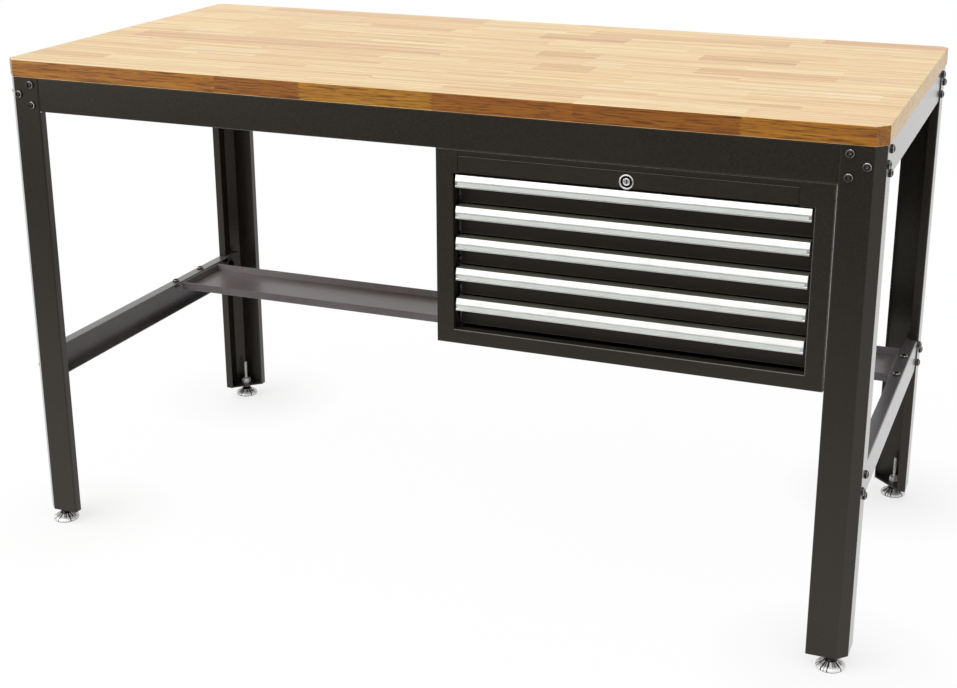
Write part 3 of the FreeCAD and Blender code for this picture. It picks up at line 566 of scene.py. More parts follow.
# %% Lamps
def add_lamp(name, kind, power):
    data = bpy.data.lights.new(name, kind)
    data.energy = power
    lamp = bpy.data.objects.new(name, data)
    bpy.context.scene.collection.objects.link(lamp)
    return lamp


sun = add_lamp("soft_sun", "SUN", 1.9)
sun.data.angle = math.radians(70)
sun.rotation_euler = (math.radians(24), math.radians(-14), 0)

FILL_PLACE = (-2.4, -2.6, 1.2)
FILL_AIM = (-0.5, 0, 0.5)
fill = add_lamp("left_fill", "AREA", 14)
fill.data.shape = "RECTANGLE"
fill.data.size = 1.6
fill.data.size_y = 1.2
fill.location = FILL_PLACE
aim = Vector(FILL_AIM) - fill.location
fill.rotation_euler = aim.to_track_quat("-Z", "Y").to_euler()
print("lamps", round(sun.data.energy, 2), fill.data.energy)

# %% [markdown]
# ## Powder coat
# The frame and the chest are steel with a dark brown-black powder coat, baked to a half gloss. Up
# close it has the faint dimples of orange peel and a fine grain, and at a glancing view a clear
# gloss. One flat dark colour would do from afar, but the drift of tone is what the eye takes for
# real. The chest is the browner coat. The stretchers get a paler copy of the coat as painted light
# from the floor, the trough and its back wall paler copies still as painted light, the bent and
# rounded edges a painted highlight, and the ledges a painted sheen.

# %% Powder coat
DRIFT_SCALE, PEEL_SCALE, GRAIN_SCALE = 3.0, 160.0, 420.0
PEEL_DEPTH, GRAIN_DEPTH = 0.00004, 0.00002
WARM_SHINE = (1.0, 0.93, 0.84, 1)
CLEAR_ROUGHNESS = 0.2


def make_coat(name, dark, light, gloss, shine=0.5, glance=1.0):
    """A coat between two tones, with a range of gloss, a shine face on and one at a glance."""
    finish, tree, shader = new_finish(name)
    place = place_on_object(tree)
    drift = add_noise(tree, place, DRIFT_SCALE, 4.0)
    grain = add_noise(tree, place, GRAIN_SCALE, 3.0, 0.7)
    peel = add_noise(tree, place, PEEL_SCALE, 1.0)
    tone = blend_colours(tree, spread(tree, drift, 0.0, 1.0), dark, light)
    speck = blend_colours(tree, spread(tree, grain, 0.0, 0.5, 0.4, 0.7), tone, [1.6 * v for v in light])
    tree.links.new(speck, shader.inputs["Base Color"])
    tree.links.new(spread(tree, grain, *gloss), shader.inputs["Roughness"])
    shader.inputs["Specular IOR Level"].default_value = shine
    shader.inputs["Specular Tint"].default_value = WARM_SHINE
    slant = tree.nodes.new("ShaderNodeLayerWeight")
    slant.inputs["Blend"].default_value = 0.5
    clear = spread(tree, slant.outputs["Facing"], 0.0, glance, 0.45, 0.85)
    uneven = spread(tree, grain, 0.85, 1.0, 0.35, 0.6)
    tree.links.new(join_values(tree, "MULTIPLY", clear, uneven), shader.inputs["Coat Weight"])
    shader.inputs["Coat Roughness"].default_value = CLEAR_ROUGHNESS
    add_bump(tree, shader, [(peel, PEEL_DEPTH), (grain, GRAIN_DEPTH)])
    return finish


frame_coat = make_coat("frame_powder_coat", (0.0105, 0.0086, 0.0066), (0.015, 0.0125, 0.0098),
                       (0.26, 0.42), shine=0.42)
chest_coat = make_coat("chest_powder_coat", (0.0115, 0.009, 0.0066), (0.0165, 0.0132, 0.01),
                       (0.28, 0.46), shine=0.36)
# A paler copy of the frame coat for the stretchers: painted light from the floor.
stretcher_light_coat = make_coat("stretcher_painted_light", (0.055, 0.050, 0.053), (0.085, 0.078, 0.083),
                     (0.26, 0.42), shine=0.3)
# A paler copy of the coat for the trough: painted light.
trough_light_coat = make_coat("trough_painted_light", (0.105, 0.094, 0.100), (0.15, 0.136, 0.145),
                        (0.3, 0.46), shine=0.3, glance=0.45)
# Paler still: painted light on the trough's back wall and a painted highlight on the lock rail's edges.
pale_light_coat = make_coat("pale_painted_light", (0.20, 0.182, 0.192), (0.27, 0.25, 0.262),
                      (0.3, 0.46), shine=0.3, glance=0.45)
# A lighter, glossier coat used as a painted highlight on bent and rounded edges.
edge_highlight_coat = make_coat("edge_painted_highlight", (0.062, 0.058, 0.052), (0.095, 0.089, 0.08), (0.2, 0.34), shine=0.55)
# A paler coat used as a painted sheen on the ledges of the drawer fronts.
ledge_sheen_coat = make_coat("ledge_painted_sheen", (0.10, 0.098, 0.075), (0.15, 0.146, 0.115), (0.35, 0.5))
print("coats", frame_coat.name, chest_coat.name, stretcher_light_coat.name, trough_light_coat.name)

# %% [markdown]
# ## Metals
# The handles are satin aluminium, brushed along their length, the lock is chromed, and the studs of
# the feet are zinc, painted near white as a painted highlight. The bolts are black oxide, dark steel
# with a soft oily gloss, and a pale steel with dark patches gives them a painted glint. The black is
# also painted in the lock's groove and on the feet, as painted shade and painted reflection. A
# scratched picture could be laid on them, but very fine noise, stretched along the brushing, gives
# the same broken gloss at any distance.

# %% Metals
BRUSHED = (0.02, 1, 1)


def make_metal(name, colour, gloss, fine, depth, stretch=(1, 1, 1), metallic=1.0, patch=25.0,
               dark_share=0.86):
    """A metal with fine lines of a depth, and patches in which its colour is a share darker."""
    finish, tree, shader = new_finish(name)
    lines = add_noise(tree, place_on_object(tree, stretch), fine)
    drift = add_noise(tree, place_on_object(tree), patch)
    darker = [dark_share * v for v in colour]
    tone = blend_colours(tree, spread(tree, drift, 0.0, 1.0), colour, darker)
    tree.links.new(tone, shader.inputs["Base Color"])
    shader.inputs["Metallic"].default_value = metallic
    tree.links.new(spread(tree, lines, *gloss), shader.inputs["Roughness"])
    add_bump(tree, shader, [(lines, depth)])
    return finish


aluminium = make_metal("satin_aluminium", (0.90, 0.90, 0.88), (0.24, 0.42), 1400.0, 0.00002, BRUSHED)
chrome = make_metal("polished_chrome", (0.56, 0.56, 0.57), (0.08, 0.2), 300.0, 0.000004)
black_steel = make_metal("black_oxide", (0.035, 0.033, 0.032), (0.14, 0.3), 900.0, 0.00002)
# Pale steel with dark patches, used as a painted glint on the bolts.
painted_glint_steel = make_metal("painted_glint_steel", (0.62, 0.60, 0.58), (0.2, 0.36), 900.0, 0.00001,
                          metallic=0.7, patch=380.0, dark_share=0.05)
# Near white and mostly matt: a painted highlight in place of the zinc's reflection, on the studs and foot
# nuts.
zinc_painted_highlight = make_metal("zinc_painted_highlight", (0.97, 0.97, 0.96), (0.2, 0.34), 600.0, 0.00001, metallic=0.15)
print("metals", aluminium.name, chrome.name, black_steel.name, painted_glint_steel.name, zinc_painted_highlight.name)

# %% [markdown]
# ## Chrome of the feet
# A chromed pad on white paper mirrors the dark bench in narrow rays round its axis. Real mirroring
# would need the whole room, so the rays are in the finish: each point of the pad carries the
# direction in which it lies from the axis, and a noise read at that direction gives pale and dark
# rays, of one kind on the rim and of another on the neck.

# %% Chrome of the feet
PALE, DARK = (0.92, 0.92, 0.91), (0.04, 0.04, 0.04)
RIM_RAYS = (0.56, 0.61)
NECK_RAYS = (0.44, 0.49)
RIM_TOP, NECK_FOOT = 0.0078, 0.0088
foot_chrome, tree, shader = new_finish("foot_chrome")
ray = tree.nodes.new("ShaderNodeAttribute")
ray.attribute_name = "ray"
rays = add_noise(tree, ray.outputs["Vector"], 6.5)
rim_tone, neck_tone = [blend_colours(tree, spread(tree, rays, 0.0, 1.0, *span), PALE, DARK)
                       for span in (RIM_RAYS, NECK_RAYS)]
level = tree.nodes.new("ShaderNodeSeparateXYZ")
tree.links.new(place_on_object(tree), level.inputs[0])
on_neck = spread(tree, level.outputs["Z"], 0.0, 1.0, RIM_TOP, NECK_FOOT)
tree.links.new(blend_colours(tree, on_neck, rim_tone, neck_tone), shader.inputs["Base Color"])
shader.inputs["Metallic"].default_value = 0.3
fine = add_noise(tree, place_on_object(tree), 500.0, 2.0)
tree.links.new(spread(tree, fine, 0.14, 0.28), shader.inputs["Roughness"])
add_bump(tree, shader, [(fine, 0.00001)])
print("chrome", foot_chrome.name)

# %% [markdown]
# ## Zinc plate
# The runners, posts, screws and rods inside are zinc plated, a pale grey with a faint patchwork of
# crystals. Smooth noise has no borders, so a Voronoi texture gives each crystal a tone and a gloss.

# %% Zinc plate
CRYSTALS = 220.0
zinc, tree, shader = new_finish("zinc_plate")
place = place_on_object(tree)
crystals = tree.nodes.new("ShaderNodeTexVoronoi")
crystals.inputs["Scale"].default_value = CRYSTALS
tree.links.new(place, crystals.inputs["Vector"])
grey = tree.nodes.new("ShaderNodeSeparateColor")
tree.links.new(crystals.outputs["Color"], grey.inputs["Color"])
tone = blend_colours(tree, grey.outputs[0], (0.58, 0.58, 0.57), (0.70, 0.70, 0.70))
tree.links.new(tone, shader.inputs["Base Color"])
shader.inputs["Metallic"].default_value = 1.0
tree.links.new(spread(tree, grey.outputs[1], 0.26, 0.44, 0.0, 1.0), shader.inputs["Roughness"])
scratches = add_noise(tree, place, 1200.0, 2.0)
add_bump(tree, shader, [(scratches, 0.00002)])
print("zinc", zinc.name)

# %% [markdown]
# ## Plastic of the label strips
# A pale grey-green strip of plastic is pressed into the flat of each handle, ready for a written
# label. It is left blank. One colour would look like paint on the metal, so it has a slight cloud
# and a fine matt tooth.

# %% Label plastic
label_plastic, tree, shader = new_finish("label_plastic")
place = place_on_object(tree)
cloud = add_noise(tree, place, 30.0, 4.0)
tone = blend_colours(tree, spread(tree, cloud, 0.0, 1.0), (0.55, 0.60, 0.55), (0.62, 0.66, 0.62))
tree.links.new(tone, shader.inputs["Base Color"])
fine = add_noise(tree, place, 900.0, 2.0)
tree.links.new(spread(tree, fine, 0.3, 0.45), shader.inputs["Roughness"])
add_bump(tree, shader, [(fine, 0.00003)])
print("plastic", label_plastic.name)

# %% [markdown]
# ## Wood
# The top is glued up from staves of hardwood, each with its own tone and its own run of grain. Each
# stave could have a material of its own, but one material is enough when every face of the slab
# carries numbers: the tone of its stave, from pale to brown, a shift that moves the grain, so that
# no two staves match, and how far it is a cut edge, which is a deeper orange than the sanded top.

# %% Wood: numbers and grain
SHIFT_STEP = (3.1, 1.7, 2.3)
wood, tree, shader = new_finish("laminated_hardwood")


def face_number(name):
    node = tree.nodes.new("ShaderNodeAttribute")
    node.attribute_name = name
    return node.outputs["Fac"]


edge_number = face_number("stave_edge")
where = tree.nodes.new("ShaderNodeTexCoord")
jump = tree.nodes.new("ShaderNodeVectorMath")
jump.operation = "SCALE"
jump.inputs[0].default_value = SHIFT_STEP
tree.links.new(face_number("stave_shift"), jump.inputs["Scale"])
moved = tree.nodes.new("ShaderNodeVectorMath")
moved.operation = "ADD"
tree.links.new(where.outputs["Object"], moved.inputs[0])
tree.links.new(jump.outputs["Vector"], moved.inputs[1])


def along_grain(along, across):
    """The shifted place, with one scale along the bench and another across it."""
    stretch = tree.nodes.new("ShaderNodeMapping")
    stretch.inputs["Scale"].default_value = (along, across, across)
    tree.links.new(moved.outputs["Vector"], stretch.inputs["Vector"])
    return stretch.outputs["Vector"]


rings = tree.nodes.new("ShaderNodeTexWave")
rings.wave_type = "BANDS"
rings.bands_direction = "Y"
rings.inputs["Scale"].default_value = 22.0
rings.inputs["Distortion"].default_value = 9.0
rings.inputs["Detail"].default_value = 3.0
rings.inputs["Detail Scale"].default_value = 0.9
tree.links.new(along_grain(0.12, 1.0), rings.inputs["Vector"])
streaks = add_noise(tree, along_grain(1.6, 95.0), 2.0, 5.0, 0.62)
bands = add_noise(tree, along_grain(1.0, 62.0), 1.0, 3.0, 0.6)
pores = add_noise(tree, along_grain(30.0, 900.0), 1.0, 2.0)
flecks = add_noise(tree, along_grain(20.0, 620.0), 1.0, 4.0, 0.65)
print("wood nodes", len(tree.nodes))

# %% [markdown]
# The colour starts from a ramp that turns a stave's tone into a wood colour. Growth rings in slow
# waves, streaks, broad bands and pores as short dashes are then multiplied in one by one, as thin
# stains darken wood without hiding it. The orange of the edge and its bold flecks come last.

# %% Wood: colour
TONES = [
    (0.0, (0.93, 0.76, 0.42)), (0.25, (0.90, 0.69, 0.345)), (0.45, (0.85, 0.60, 0.29)),
    (0.6, (0.77, 0.51, 0.235)), (0.8, (0.62, 0.37, 0.16)), (1.0, (0.45, 0.23, 0.09)),
]
ramp = tree.nodes.new("ShaderNodeValToRGB")
ramp.color_ramp.elements.remove(ramp.color_ramp.elements[1])
ramp.color_ramp.elements[0].color = (*TONES[0][1], 1)
for spot, colour in TONES[1:]:
    ramp.color_ramp.elements.new(spot).color = (*colour, 1)
tree.links.new(face_number("stave_tone"), ramp.inputs["Fac"])


def stain(under, share, tint):
    """Darkens a colour by a tint where the share is high."""
    return blend_colours(tree, share, under, tint, "MULTIPLY")


ringed = spread(tree, rings.outputs["Fac"], 0.0, 0.4, 0.0, 1.0)
colour = stain(ramp.outputs["Color"], ringed, (0.88, 0.76, 0.62))
colour = stain(colour, spread(tree, streaks, 0.0, 0.8, 0.38, 0.66), (0.76, 0.58, 0.40))
colour = stain(colour, spread(tree, bands, 0.0, 0.75, 0.5, 0.62), (0.80, 0.70, 0.70))
colour = stain(colour, spread(tree, pores, 0.0, 0.45, 0.54, 0.70), (0.60, 0.44, 0.28))
colour = stain(colour, edge_number, (0.49, 0.29, 0.022))
bold = join_values(tree, "MULTIPLY", spread(tree, flecks, 0.0, 0.85, 0.5, 0.59), edge_number)
colour = stain(colour, bold, (0.30, 0.22, 0.16))
tree.links.new(colour, shader.inputs["Base Color"])
tree.links.new(spread(tree, streaks, 0.3, 0.42), shader.inputs["Roughness"])
add_bump(tree, shader, [(streaks, 0.00008), (pores, 0.00005)])
print("wood nodes", len(tree.nodes))

# %% [markdown]
# ## The top
# On the real bench, staves are planed, jointed end to end with fingers, glued edge to edge and cut
# to size. They could be modelled as 87 blocks, but their seams would then show as gaps or overlaps.
# Here a single block has its corners cut and its edges eased, and is then sliced into staves.

# %% Top: block, corners and eased edges
FRONT_CORNER, REAR_CORNER = 0.0175, 0.010
UPPER_EASE, UNDER_EASE = 0.0016, 0.0008
top_low, top_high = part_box("worktop")
slab = start_block("stave_top", top_low, top_high)
for end, cut in ((-1, FRONT_CORNER), (1, REAR_CORNER)):
    choose(slab, "edges", lambda middle, direction: abs(direction.z) > MOSTLY and middle.y * end > 0)
    bevel_chosen(cut)
choose(slab, "edges", lambda middle, direction: near(middle.z, top_high.z))
bevel_chosen(UPPER_EASE, 3)
choose(slab, "edges", lambda middle, direction: near(middle.z, top_low.z))
bevel_chosen(UNDER_EASE)
report(slab)

# %% [markdown]
# The table gives each row of staves from front to back: where each stave ends, in millimetres along
# the bench, and its tone. Joints could be thrown at random, but the front rows and the staves that
# stand out follow the photograph, and only the rest are in between. The block is sliced along its
# rows, and then each row at its own joints.

# %% Top: rows and joints
STAVES = [
    [(-340, 0.22), (-182, 0.16), (53, 0.24), (288, 0.42), (548, 0.14), (763, 0.5)],
    [(-610, 0.36), (-330, 0.12), (-90, 0.30), (150, 0.20), (390, 0.45), (620, 0.24), (763, 0.32)],
    [(-480, 0.15), (-240, 0.40), (10, 0.20), (270, 0.32), (520, 0.10), (763, 0.42)],
    [(-535, 0.45), (-370, 0.04), (-130, 0.42), (110, 0.25), (310, 0.35), (470, 0.30), (720, 0.06),
     (763, 0.3)],
    [(-640, 0.20), (-400, 0.36), (-160, 0.48), (0, 0.04), (130, 0.30), (230, 0.72), (480, 0.30), (763, 0.2)],
    [(-700, 0.30), (-290, 0.78), (-70, 0.70), (200, 0.35), (270, 0.04), (395, 0.30), (630, 0.70),
     (763, 0.24)],
    [(-625, 0.40), (-495, 0.05), (-250, 0.30), (-60, 0.20), (90, 0.36), (200, 0.75), (470, 0.30), (630, 0.04),
     (763, 0.4)],
    [(-560, 0.20), (-310, 0.46), (-110, 0.15), (160, 0.30), (370, 0.20), (540, 0.76), (763, 0.3)],
    [(-450, 0.40), (-180, 0.15), (70, 0.36), (330, 0.14), (600, 0.42), (763, 0.15)],
    [(-590, 0.20), (-330, 0.30), (-150, 0.50), (30, 0.25), (200, 0.72), (450, 0.15), (680, 0.36), (763, 0.2)],
    [(-650, 0.30), (-380, 0.15), (-120, 0.42), (60, 0.04), (110, 0.30), (490, 0.68), (730, 0.06), (763, 0.3)],
    [(-620, 0.25), (-130, 0.62), (60, 0.10), (300, 0.32), (540, 0.20), (763, 0.68)],
]
row_width = (top_high.y - top_low.y) / len(STAVES)
for number in range(1, len(STAVES)):
    choose(slab, "faces", everything)
    bpy.ops.mesh.bisect(plane_co=(0, top_low.y + number * row_width, 0), plane_no=(0, 1, 0))


def row_of(y):
    return min(len(STAVES) - 1, max(0, int((y - top_low.y) / row_width)))


for number, row in enumerate(STAVES):
    for joint, tone in row[:-1]:
        choose(slab, "faces", lambda middle, direction: row_of(middle.y) == number)
        bpy.ops.mesh.bisect(plane_co=(joint / 1000, 0, 0), plane_no=(1, 0, 0))
leave_edit()
report(slab)

# %% [markdown]
# Seen from above a joint is a straight line, but on the long edges it is a comb of small fingers. A
# comb could be cut with a saw-toothed tool. It is simpler to divide the joint's upright edge there
# and to push its points to the right and to the left in turn, which also leaves no gap.

# %% Top: fingers on the long edges
FINGERS = 9
REACH = 0.0022
for y, row in ((top_low.y, STAVES[0]), (top_high.y, STAVES[-1])):
    joints = [joint / 1000 for joint, tone in row[:-1]]

    def on_joint(middle):
        return near(middle.y, y) and any(near(middle.x, joint) for joint in joints)

    choose(slab, "edges", lambda middle, direction: on_joint(middle) and abs(direction.z) > MOSTLY)
    bpy.ops.mesh.subdivide(number_cuts=FINGERS)
    leave_edit()
    heights = sorted({round(point.co.z, 5) for point in slab.data.vertices if on_joint(point.co)})
    inner = heights[1:-1]
    for group, step in ((inner[::2], REACH), (inner[1::2], -REACH)):
        choose(slab, "points", lambda middle, direction: on_joint(middle) and round(middle.z, 5) in group)
        bpy.ops.transform.translate(value=(step, 0, 0))
leave_edit()
report(slab)

# %% [markdown]
# Each face now learns which stave it belongs to. The long edges have tones of their own, because the
# same stave shows a different side of its grain there. The shifts are drawn at random from a fixed
# start, so that the bench looks the same each time.

# %% Top: numbers on the faces
# The right end faces take a small share of the cut-edge orange, so they are paler: partly paler end grain,
# partly painted light from the right.
LIT_END_SHARE = 0.12
EDGE_TONES = [0.45, 0.72, 0.12, 0.70, 0.78, 0.40]
TONE_SHARE, TONE_DROP = 0.82, 0.03
FARTHEST_SHIFT = 40
pick = random.Random(11)
shifts = [[pick.uniform(0, FARTHEST_SHIFT) for stave in row] for row in STAVES]
tones, moves, edges = [], [], []
for face in slab.data.polygons:
    number = row_of(face.center.y)
    row = STAVES[number]
    stave = next(k for k, (end, tone) in enumerate(row) if face.center.x * 1000 < end)
    on_edge = abs(face.normal.z) < 0.5
    tone = TONE_SHARE * row[stave][1] - TONE_DROP
    if on_edge and number == 0 and face.normal.y < -0.5:
        tone = EDGE_TONES[stave]
    tones.append(tone)
    moves.append(shifts[number][stave])
    if not on_edge:
        edges.append(0.0)
    elif face.normal.x > MOSTLY:
        edges.append(LIT_END_SHARE)
    else:
        edges.append(1.0)
for name, values in (("stave_tone", tones), ("stave_shift", moves), ("stave_edge", edges)):
    column = slab.data.attributes.new(name, "FLOAT", "FACE")
    column.data.foreach_set("value", values)
finish_piece(slab, "bench", wood)
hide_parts("worktop")
print("staves", sum(len(row) for row in STAVES))

# %% [markdown]
# ## Bolts
# Forty button-head bolts with a hexagon socket hold the frame. Half an outline could be spun, but a
# short cylinder whose top is drawn in step by step gives the same dome. The socket is cut with a
# hexagonal bar, and the shank, which passes the sheets and the nut, is drawn out of the underside. A
# ring round the dome and the floor of the socket get a painted glint.

# %% One bolt
HEAD_RADIUS = 0.007
RIM_TALL = 0.0012
DOME = ((0.0016, 0.93), (0.0012, 0.86), (0.0008, 0.76), (0.0004, 0.78))
HEAD_TALL = 0.0052
SHANK_INSET, SHANK_LONG = 0.003, 0.0125
SOCKET_RADIUS, SOCKET_BAR = 0.0029, 0.005
GLINT_FROM, GLINT_TO = 0.0050, 0.0066
bolt = start_bar("bolt_pattern", 24, HEAD_RADIUS, RIM_TALL, (0, 0, RIM_TALL / 2))
choose(bolt, "faces", facing_up)
for rise, draw_in in DOME:
    extrude((0, 0, rise))
    bpy.ops.transform.resize(value=(draw_in, draw_in, 1))
choose(bolt, "faces", facing_down)
bpy.ops.mesh.inset(thickness=SHANK_INSET)
extrude((0, 0, -SHANK_LONG))
leave_edit()
carve(bolt, start_bar("socket", 6, SOCKET_RADIUS, SOCKET_BAR, (0, 0, HEAD_TALL)))
bolt.data.materials.append(black_steel)
# A painted glint on a ring round the dome and on the floor of the socket.
paint(bolt, painted_glint_steel, lambda middle, direction: direction.z > 0.2 and middle.z > 0.001
      and GLINT_FROM < math.hypot(middle.x, middle.y) < GLINT_TO)
paint(bolt, painted_glint_steel, lambda middle, direction: direction.z > MOSTLY
      and math.hypot(middle.x, middle.y) < 0.001)
report(bolt)

# %% [markdown]
# Three bolts in a triangle hold each end of every rail and stretcher, and two hold each end of the
# trough. Forty places could be listed, but one triangle, mirrored from corner to corner, says the
# same. The bolts are joined into one piece, as they share one node.

# %% Places of the bolts
FAR, NEAR = 0.051, 0.0255
SPLAY = 0.018
TRIANGLE = ((FAR, SPLAY), (NEAR, 0.0), (FAR, -SPLAY))
TROUGH_BOLT_X = 0.748
TROUGH_BOLT_Y = (0.106, 0.203)
QUARTER_TURN = math.pi / 2
LEG_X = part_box("leg_front_right")[1].x
LEG_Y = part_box("leg_rear_right")[1].y
upper = middle_of("rail_left")[2]
lower = middle_of("stretcher_left")[2]
lower_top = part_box("stretcher_left")[1].z
bolt_places = []
for side in (-1, 1):
    for end in (-1, 1):
        for inset, rise in TRIANGLE:
            on_front = (side * (LEG_X - inset), end * LEG_Y, upper + rise)
            bolt_places.append((on_front, (-end * QUARTER_TURN, 0, 0)))
            for level in (upper, lower):
                on_side = (side * LEG_X, end * (LEG_Y - inset), level + rise)
                bolt_places.append((on_side, (0, side * QUARTER_TURN, 0)))
    for y in TROUGH_BOLT_Y:
        bolt_places.append(((side * TROUGH_BOLT_X, y, lower_top), (0, 0, 0)))
heads = [twin(bolt, "bolt", turn, spot) for spot, turn in bolt_places]
bpy.data.objects.remove(bolt)
only(heads[0])
for head in heads:
    head.select_set(True)
bpy.ops.object.join()
bolts = bpy.context.object
bolts.name = "frame_bolt_set"
finish_piece(bolts, "bench", black_steel, 35)
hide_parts("frame_bolts")
print("bolts", len(bolt_places))
report(bolts)

# %% [markdown]
# ## Levelling feet
# Each foot is turned: a flat pad with a rolled rim, a low cone and a neck, on a threaded stud. Rings
# could be stacked, but turned work is easiest as half an outline spun round its axis. The thread is
# a row of rings, because at this size nobody sees that a real one climbs. The pad is chromed, with
# black on its neck as a painted reflection of the dark leg and on its sole as painted shade, and the
# stud is zinc plated, painted near white as a painted highlight, so they are two pieces on one body.

# %% Foot
foot_x, foot_y = middle_of("foot_front_right")[:2]
foot_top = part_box("foot_front_right")[1].z
foot_middle = Vector((foot_x, foot_y, 0))
UP = Vector((0, 0, 1))
PAD_TOP = 0.0172
DARK_BELOW, DARK_ABOVE = 0.0022, 0.0132
PAD = [
    (0.0, 0.0), (0.0215, 0.0), (0.0228, 0.0007), (0.0238, 0.0022), (0.024, 0.004), (0.0236, 0.0056),
    (0.0226, 0.0066), (0.0205, 0.0074), (0.017, 0.0092), (0.0135, 0.0115), (0.0112, 0.0136),
    (0.0095, 0.0150), (0.0088, 0.0168), (0.0082, PAD_TOP), (0.0, PAD_TOP),
]
pad = spun("foot_pad", PAD, 48, foot_middle, UP)
pad.data.materials.append(foot_chrome)
# Black on the neck as a painted reflection of the dark leg, and on the sole as painted shade.
paint(pad, black_steel, lambda middle, direction: middle.z > DARK_ABOVE or middle.z < DARK_BELOW)
ray_column = pad.data.attributes.new("ray", "FLOAT_VECTOR", "POINT")
for point, entry in zip(pad.data.vertices, ray_column.data):
    entry.vector = Vector((point.co.x - foot_x, point.co.y - foot_y, 0)).normalized()
report(pad)

STUD_RADIUS = 0.0031
STUD_FOOT = 0.0165
PITCH = 0.0015
THREAD_DEEP = 0.0007
THREAD_STOP = 0.002
TIP_CUT = 0.0008
STUD = [(0.0, STUD_FOOT), (STUD_RADIUS, STUD_FOOT)]
height = PAD_TOP
while height < foot_top - THREAD_STOP:
    STUD.append((STUD_RADIUS - THREAD_DEEP, height + 0.3 * PITCH))
    STUD.append((STUD_RADIUS, height + 0.8 * PITCH))
    height += PITCH
STUD += [(STUD_RADIUS - TIP_CUT, foot_top), (0.0, foot_top)]
stud = spun("foot_stud", STUD, 20, foot_middle, UP)
report(stud)

# %% [markdown]
# The same foot stands under each leg, so it is copied straight across, not mirrored. Each pad and
# stud rides on the body of its own foot, which moves when that foot is screwed up or down.

# %% Copies of the foot
for side, side_name in ((1, "right"), (-1, "left")):
    for end, end_name in ((-1, "front"), (1, "rear")):
        corner = f"{end_name}_{side_name}"
        step = (side * foot_x - foot_x, end * abs(foot_y) - foot_y, 0)
        shoe = twin(pad, f"foot_pad_{corner}", step=step)
        finish_piece(shoe, f"foot_{corner}", foot_chrome, 40)
        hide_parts(f"foot_{corner}")
        screw = twin(stud, f"foot_stud_{corner}", step=step)
        finish_piece(screw, f"foot_{corner}", zinc_painted_highlight, 50)
bpy.data.objects.remove(pad)
bpy.data.objects.remove(stud)
print("feet", round(foot_x, 4), round(foot_y, 4))

# %% [markdown]
# ## Handles
# Each drawer has an extruded aluminium grip along its whole front: a lip at the foot, a flat channel
# for the label strip, a thin groove, and a broad face that leans back to the drawer. Blocks could be
# welded together, but an extrusion is one section pulled to length, in metal and here. The strip is
# a thin block with a narrow rim, set into the channel.

# %% Handle and label strip
SECTION = [
    (0.0, 0.0), (0.0, 0.0026), (0.0008, 0.0030), (0.0008, 0.0088), (0.0, 0.0091), (0.0, 0.0095),
    (0.0008, 0.0099), (0.0008, 0.0104), (0.0002, 0.0108), (0.0030, 0.0194), (0.0033, 0.0199),
    (0.0040, 0.0200), (0.0040, 0.0018), (0.0072, 0.0018), (0.0072, 0.0045), (0.0090, 0.0045),
    (0.0090, 0.0008), (0.0082, 0.0),
]
LIP_TALL, LIP_ROUND = 0.003, 0.0004
handle_low, handle_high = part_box("handle_1")
outline = [(handle_low.x, handle_low.y + out, handle_low.z + up) for out, up in SECTION]
grip = draw_section("handle_grip", outline)
pull((handle_high.x - handle_low.x, 0, 0))
choose(grip, "edges", lambda middle, direction: abs(direction.x) > MOSTLY
       and near(middle.y, handle_low.y) and middle.z < handle_low.z + LIP_TALL)
bevel_chosen(LIP_ROUND, 2)
report(grip)

STRIP_END = 0.004
STRIP_FRONT, STRIP_BACK = 0.00025, 0.0009
STRIP_FOOT, STRIP_TOP = 0.0031, 0.0087
STRIP_RIM, STRIP_RISE = 0.0005, 0.00015
label = start_block(
    "label_strip",
    (handle_low.x + STRIP_END, handle_low.y + STRIP_FRONT, handle_low.z + STRIP_FOOT),
    (handle_high.x - STRIP_END, handle_low.y + STRIP_BACK, handle_low.z + STRIP_TOP),
)
choose(label, "faces", facing_front)
bpy.ops.mesh.inset(thickness=STRIP_RIM)
bpy.ops.transform.translate(value=(0, -STRIP_RISE, 0))
leave_edit()
report(label)

# %% [markdown]
# All five handles are alike and differ only in height. How far each one is below the first is read
# from its measured box, so that the copies follow the frame even where the steps aren't quite even.

# %% Copies of the handle
DRAWERS = range(1, 6)
for number in DRAWERS:
    down = (0, 0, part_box(f"handle_{number}")[0].z - handle_low.z)
    copy = twin(grip, f"handle_grip_{number}", step=down)
    finish_piece(copy, f"drawer_{number}", aluminium, 25)
    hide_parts(f"handle_{number}")
    strip = twin(label, f"label_strip_{number}", step=down)
    finish_piece(strip, f"drawer_{number}", label_plastic, 25)
bpy.data.objects.remove(grip)
bpy.data.objects.remove(label)
print("handles", len(DRAWERS))

# %% [markdown]
# ## Folded frame
# The frame is steel sheet 2 mm thick, bent on a press. A flat sheet could be folded in the model too,
# but each part has one section all along, so the section is drawn once as a flat face, pulled to
# length, and its bends are rounded. Notches are carved with plain blocks, and every cut edge is
# eased a little, because powder rounds it and the rounding is what catches the light.

# %% Helpers for folded sheet
SHEET = 0.002
BEND = 0.0025
OVERRUN = 0.001
SHY = 0.0002
HALF_TURN = (0, 0, math.pi)


def channel(across, up_low, up_high, flange):
    """The outline of a C: the web at across and its two flanges reaching away from it."""
    return [
        (across, up_low), (across, up_high), (across + flange, up_high),
        (across + flange, up_high - SHEET), (across + SHEET, up_high - SHEET),
        (across + SHEET, up_low + SHEET), (across + flange, up_low + SHEET), (across + flange, up_low),
    ]


def at_four_corners(piece, name):
    """Mirrors the piece of the front right corner to the left, and turns both to the back."""
    mirrored = twin(piece, name.format("front_left"), mirror_x=True)
    return {
        "front_right": piece,
        "front_left": mirrored,
        "rear_left": twin(piece, name.format("rear_left"), HALF_TURN),
        "rear_right": twin(mirrored, name.format("rear_right"), HALF_TURN),
    }


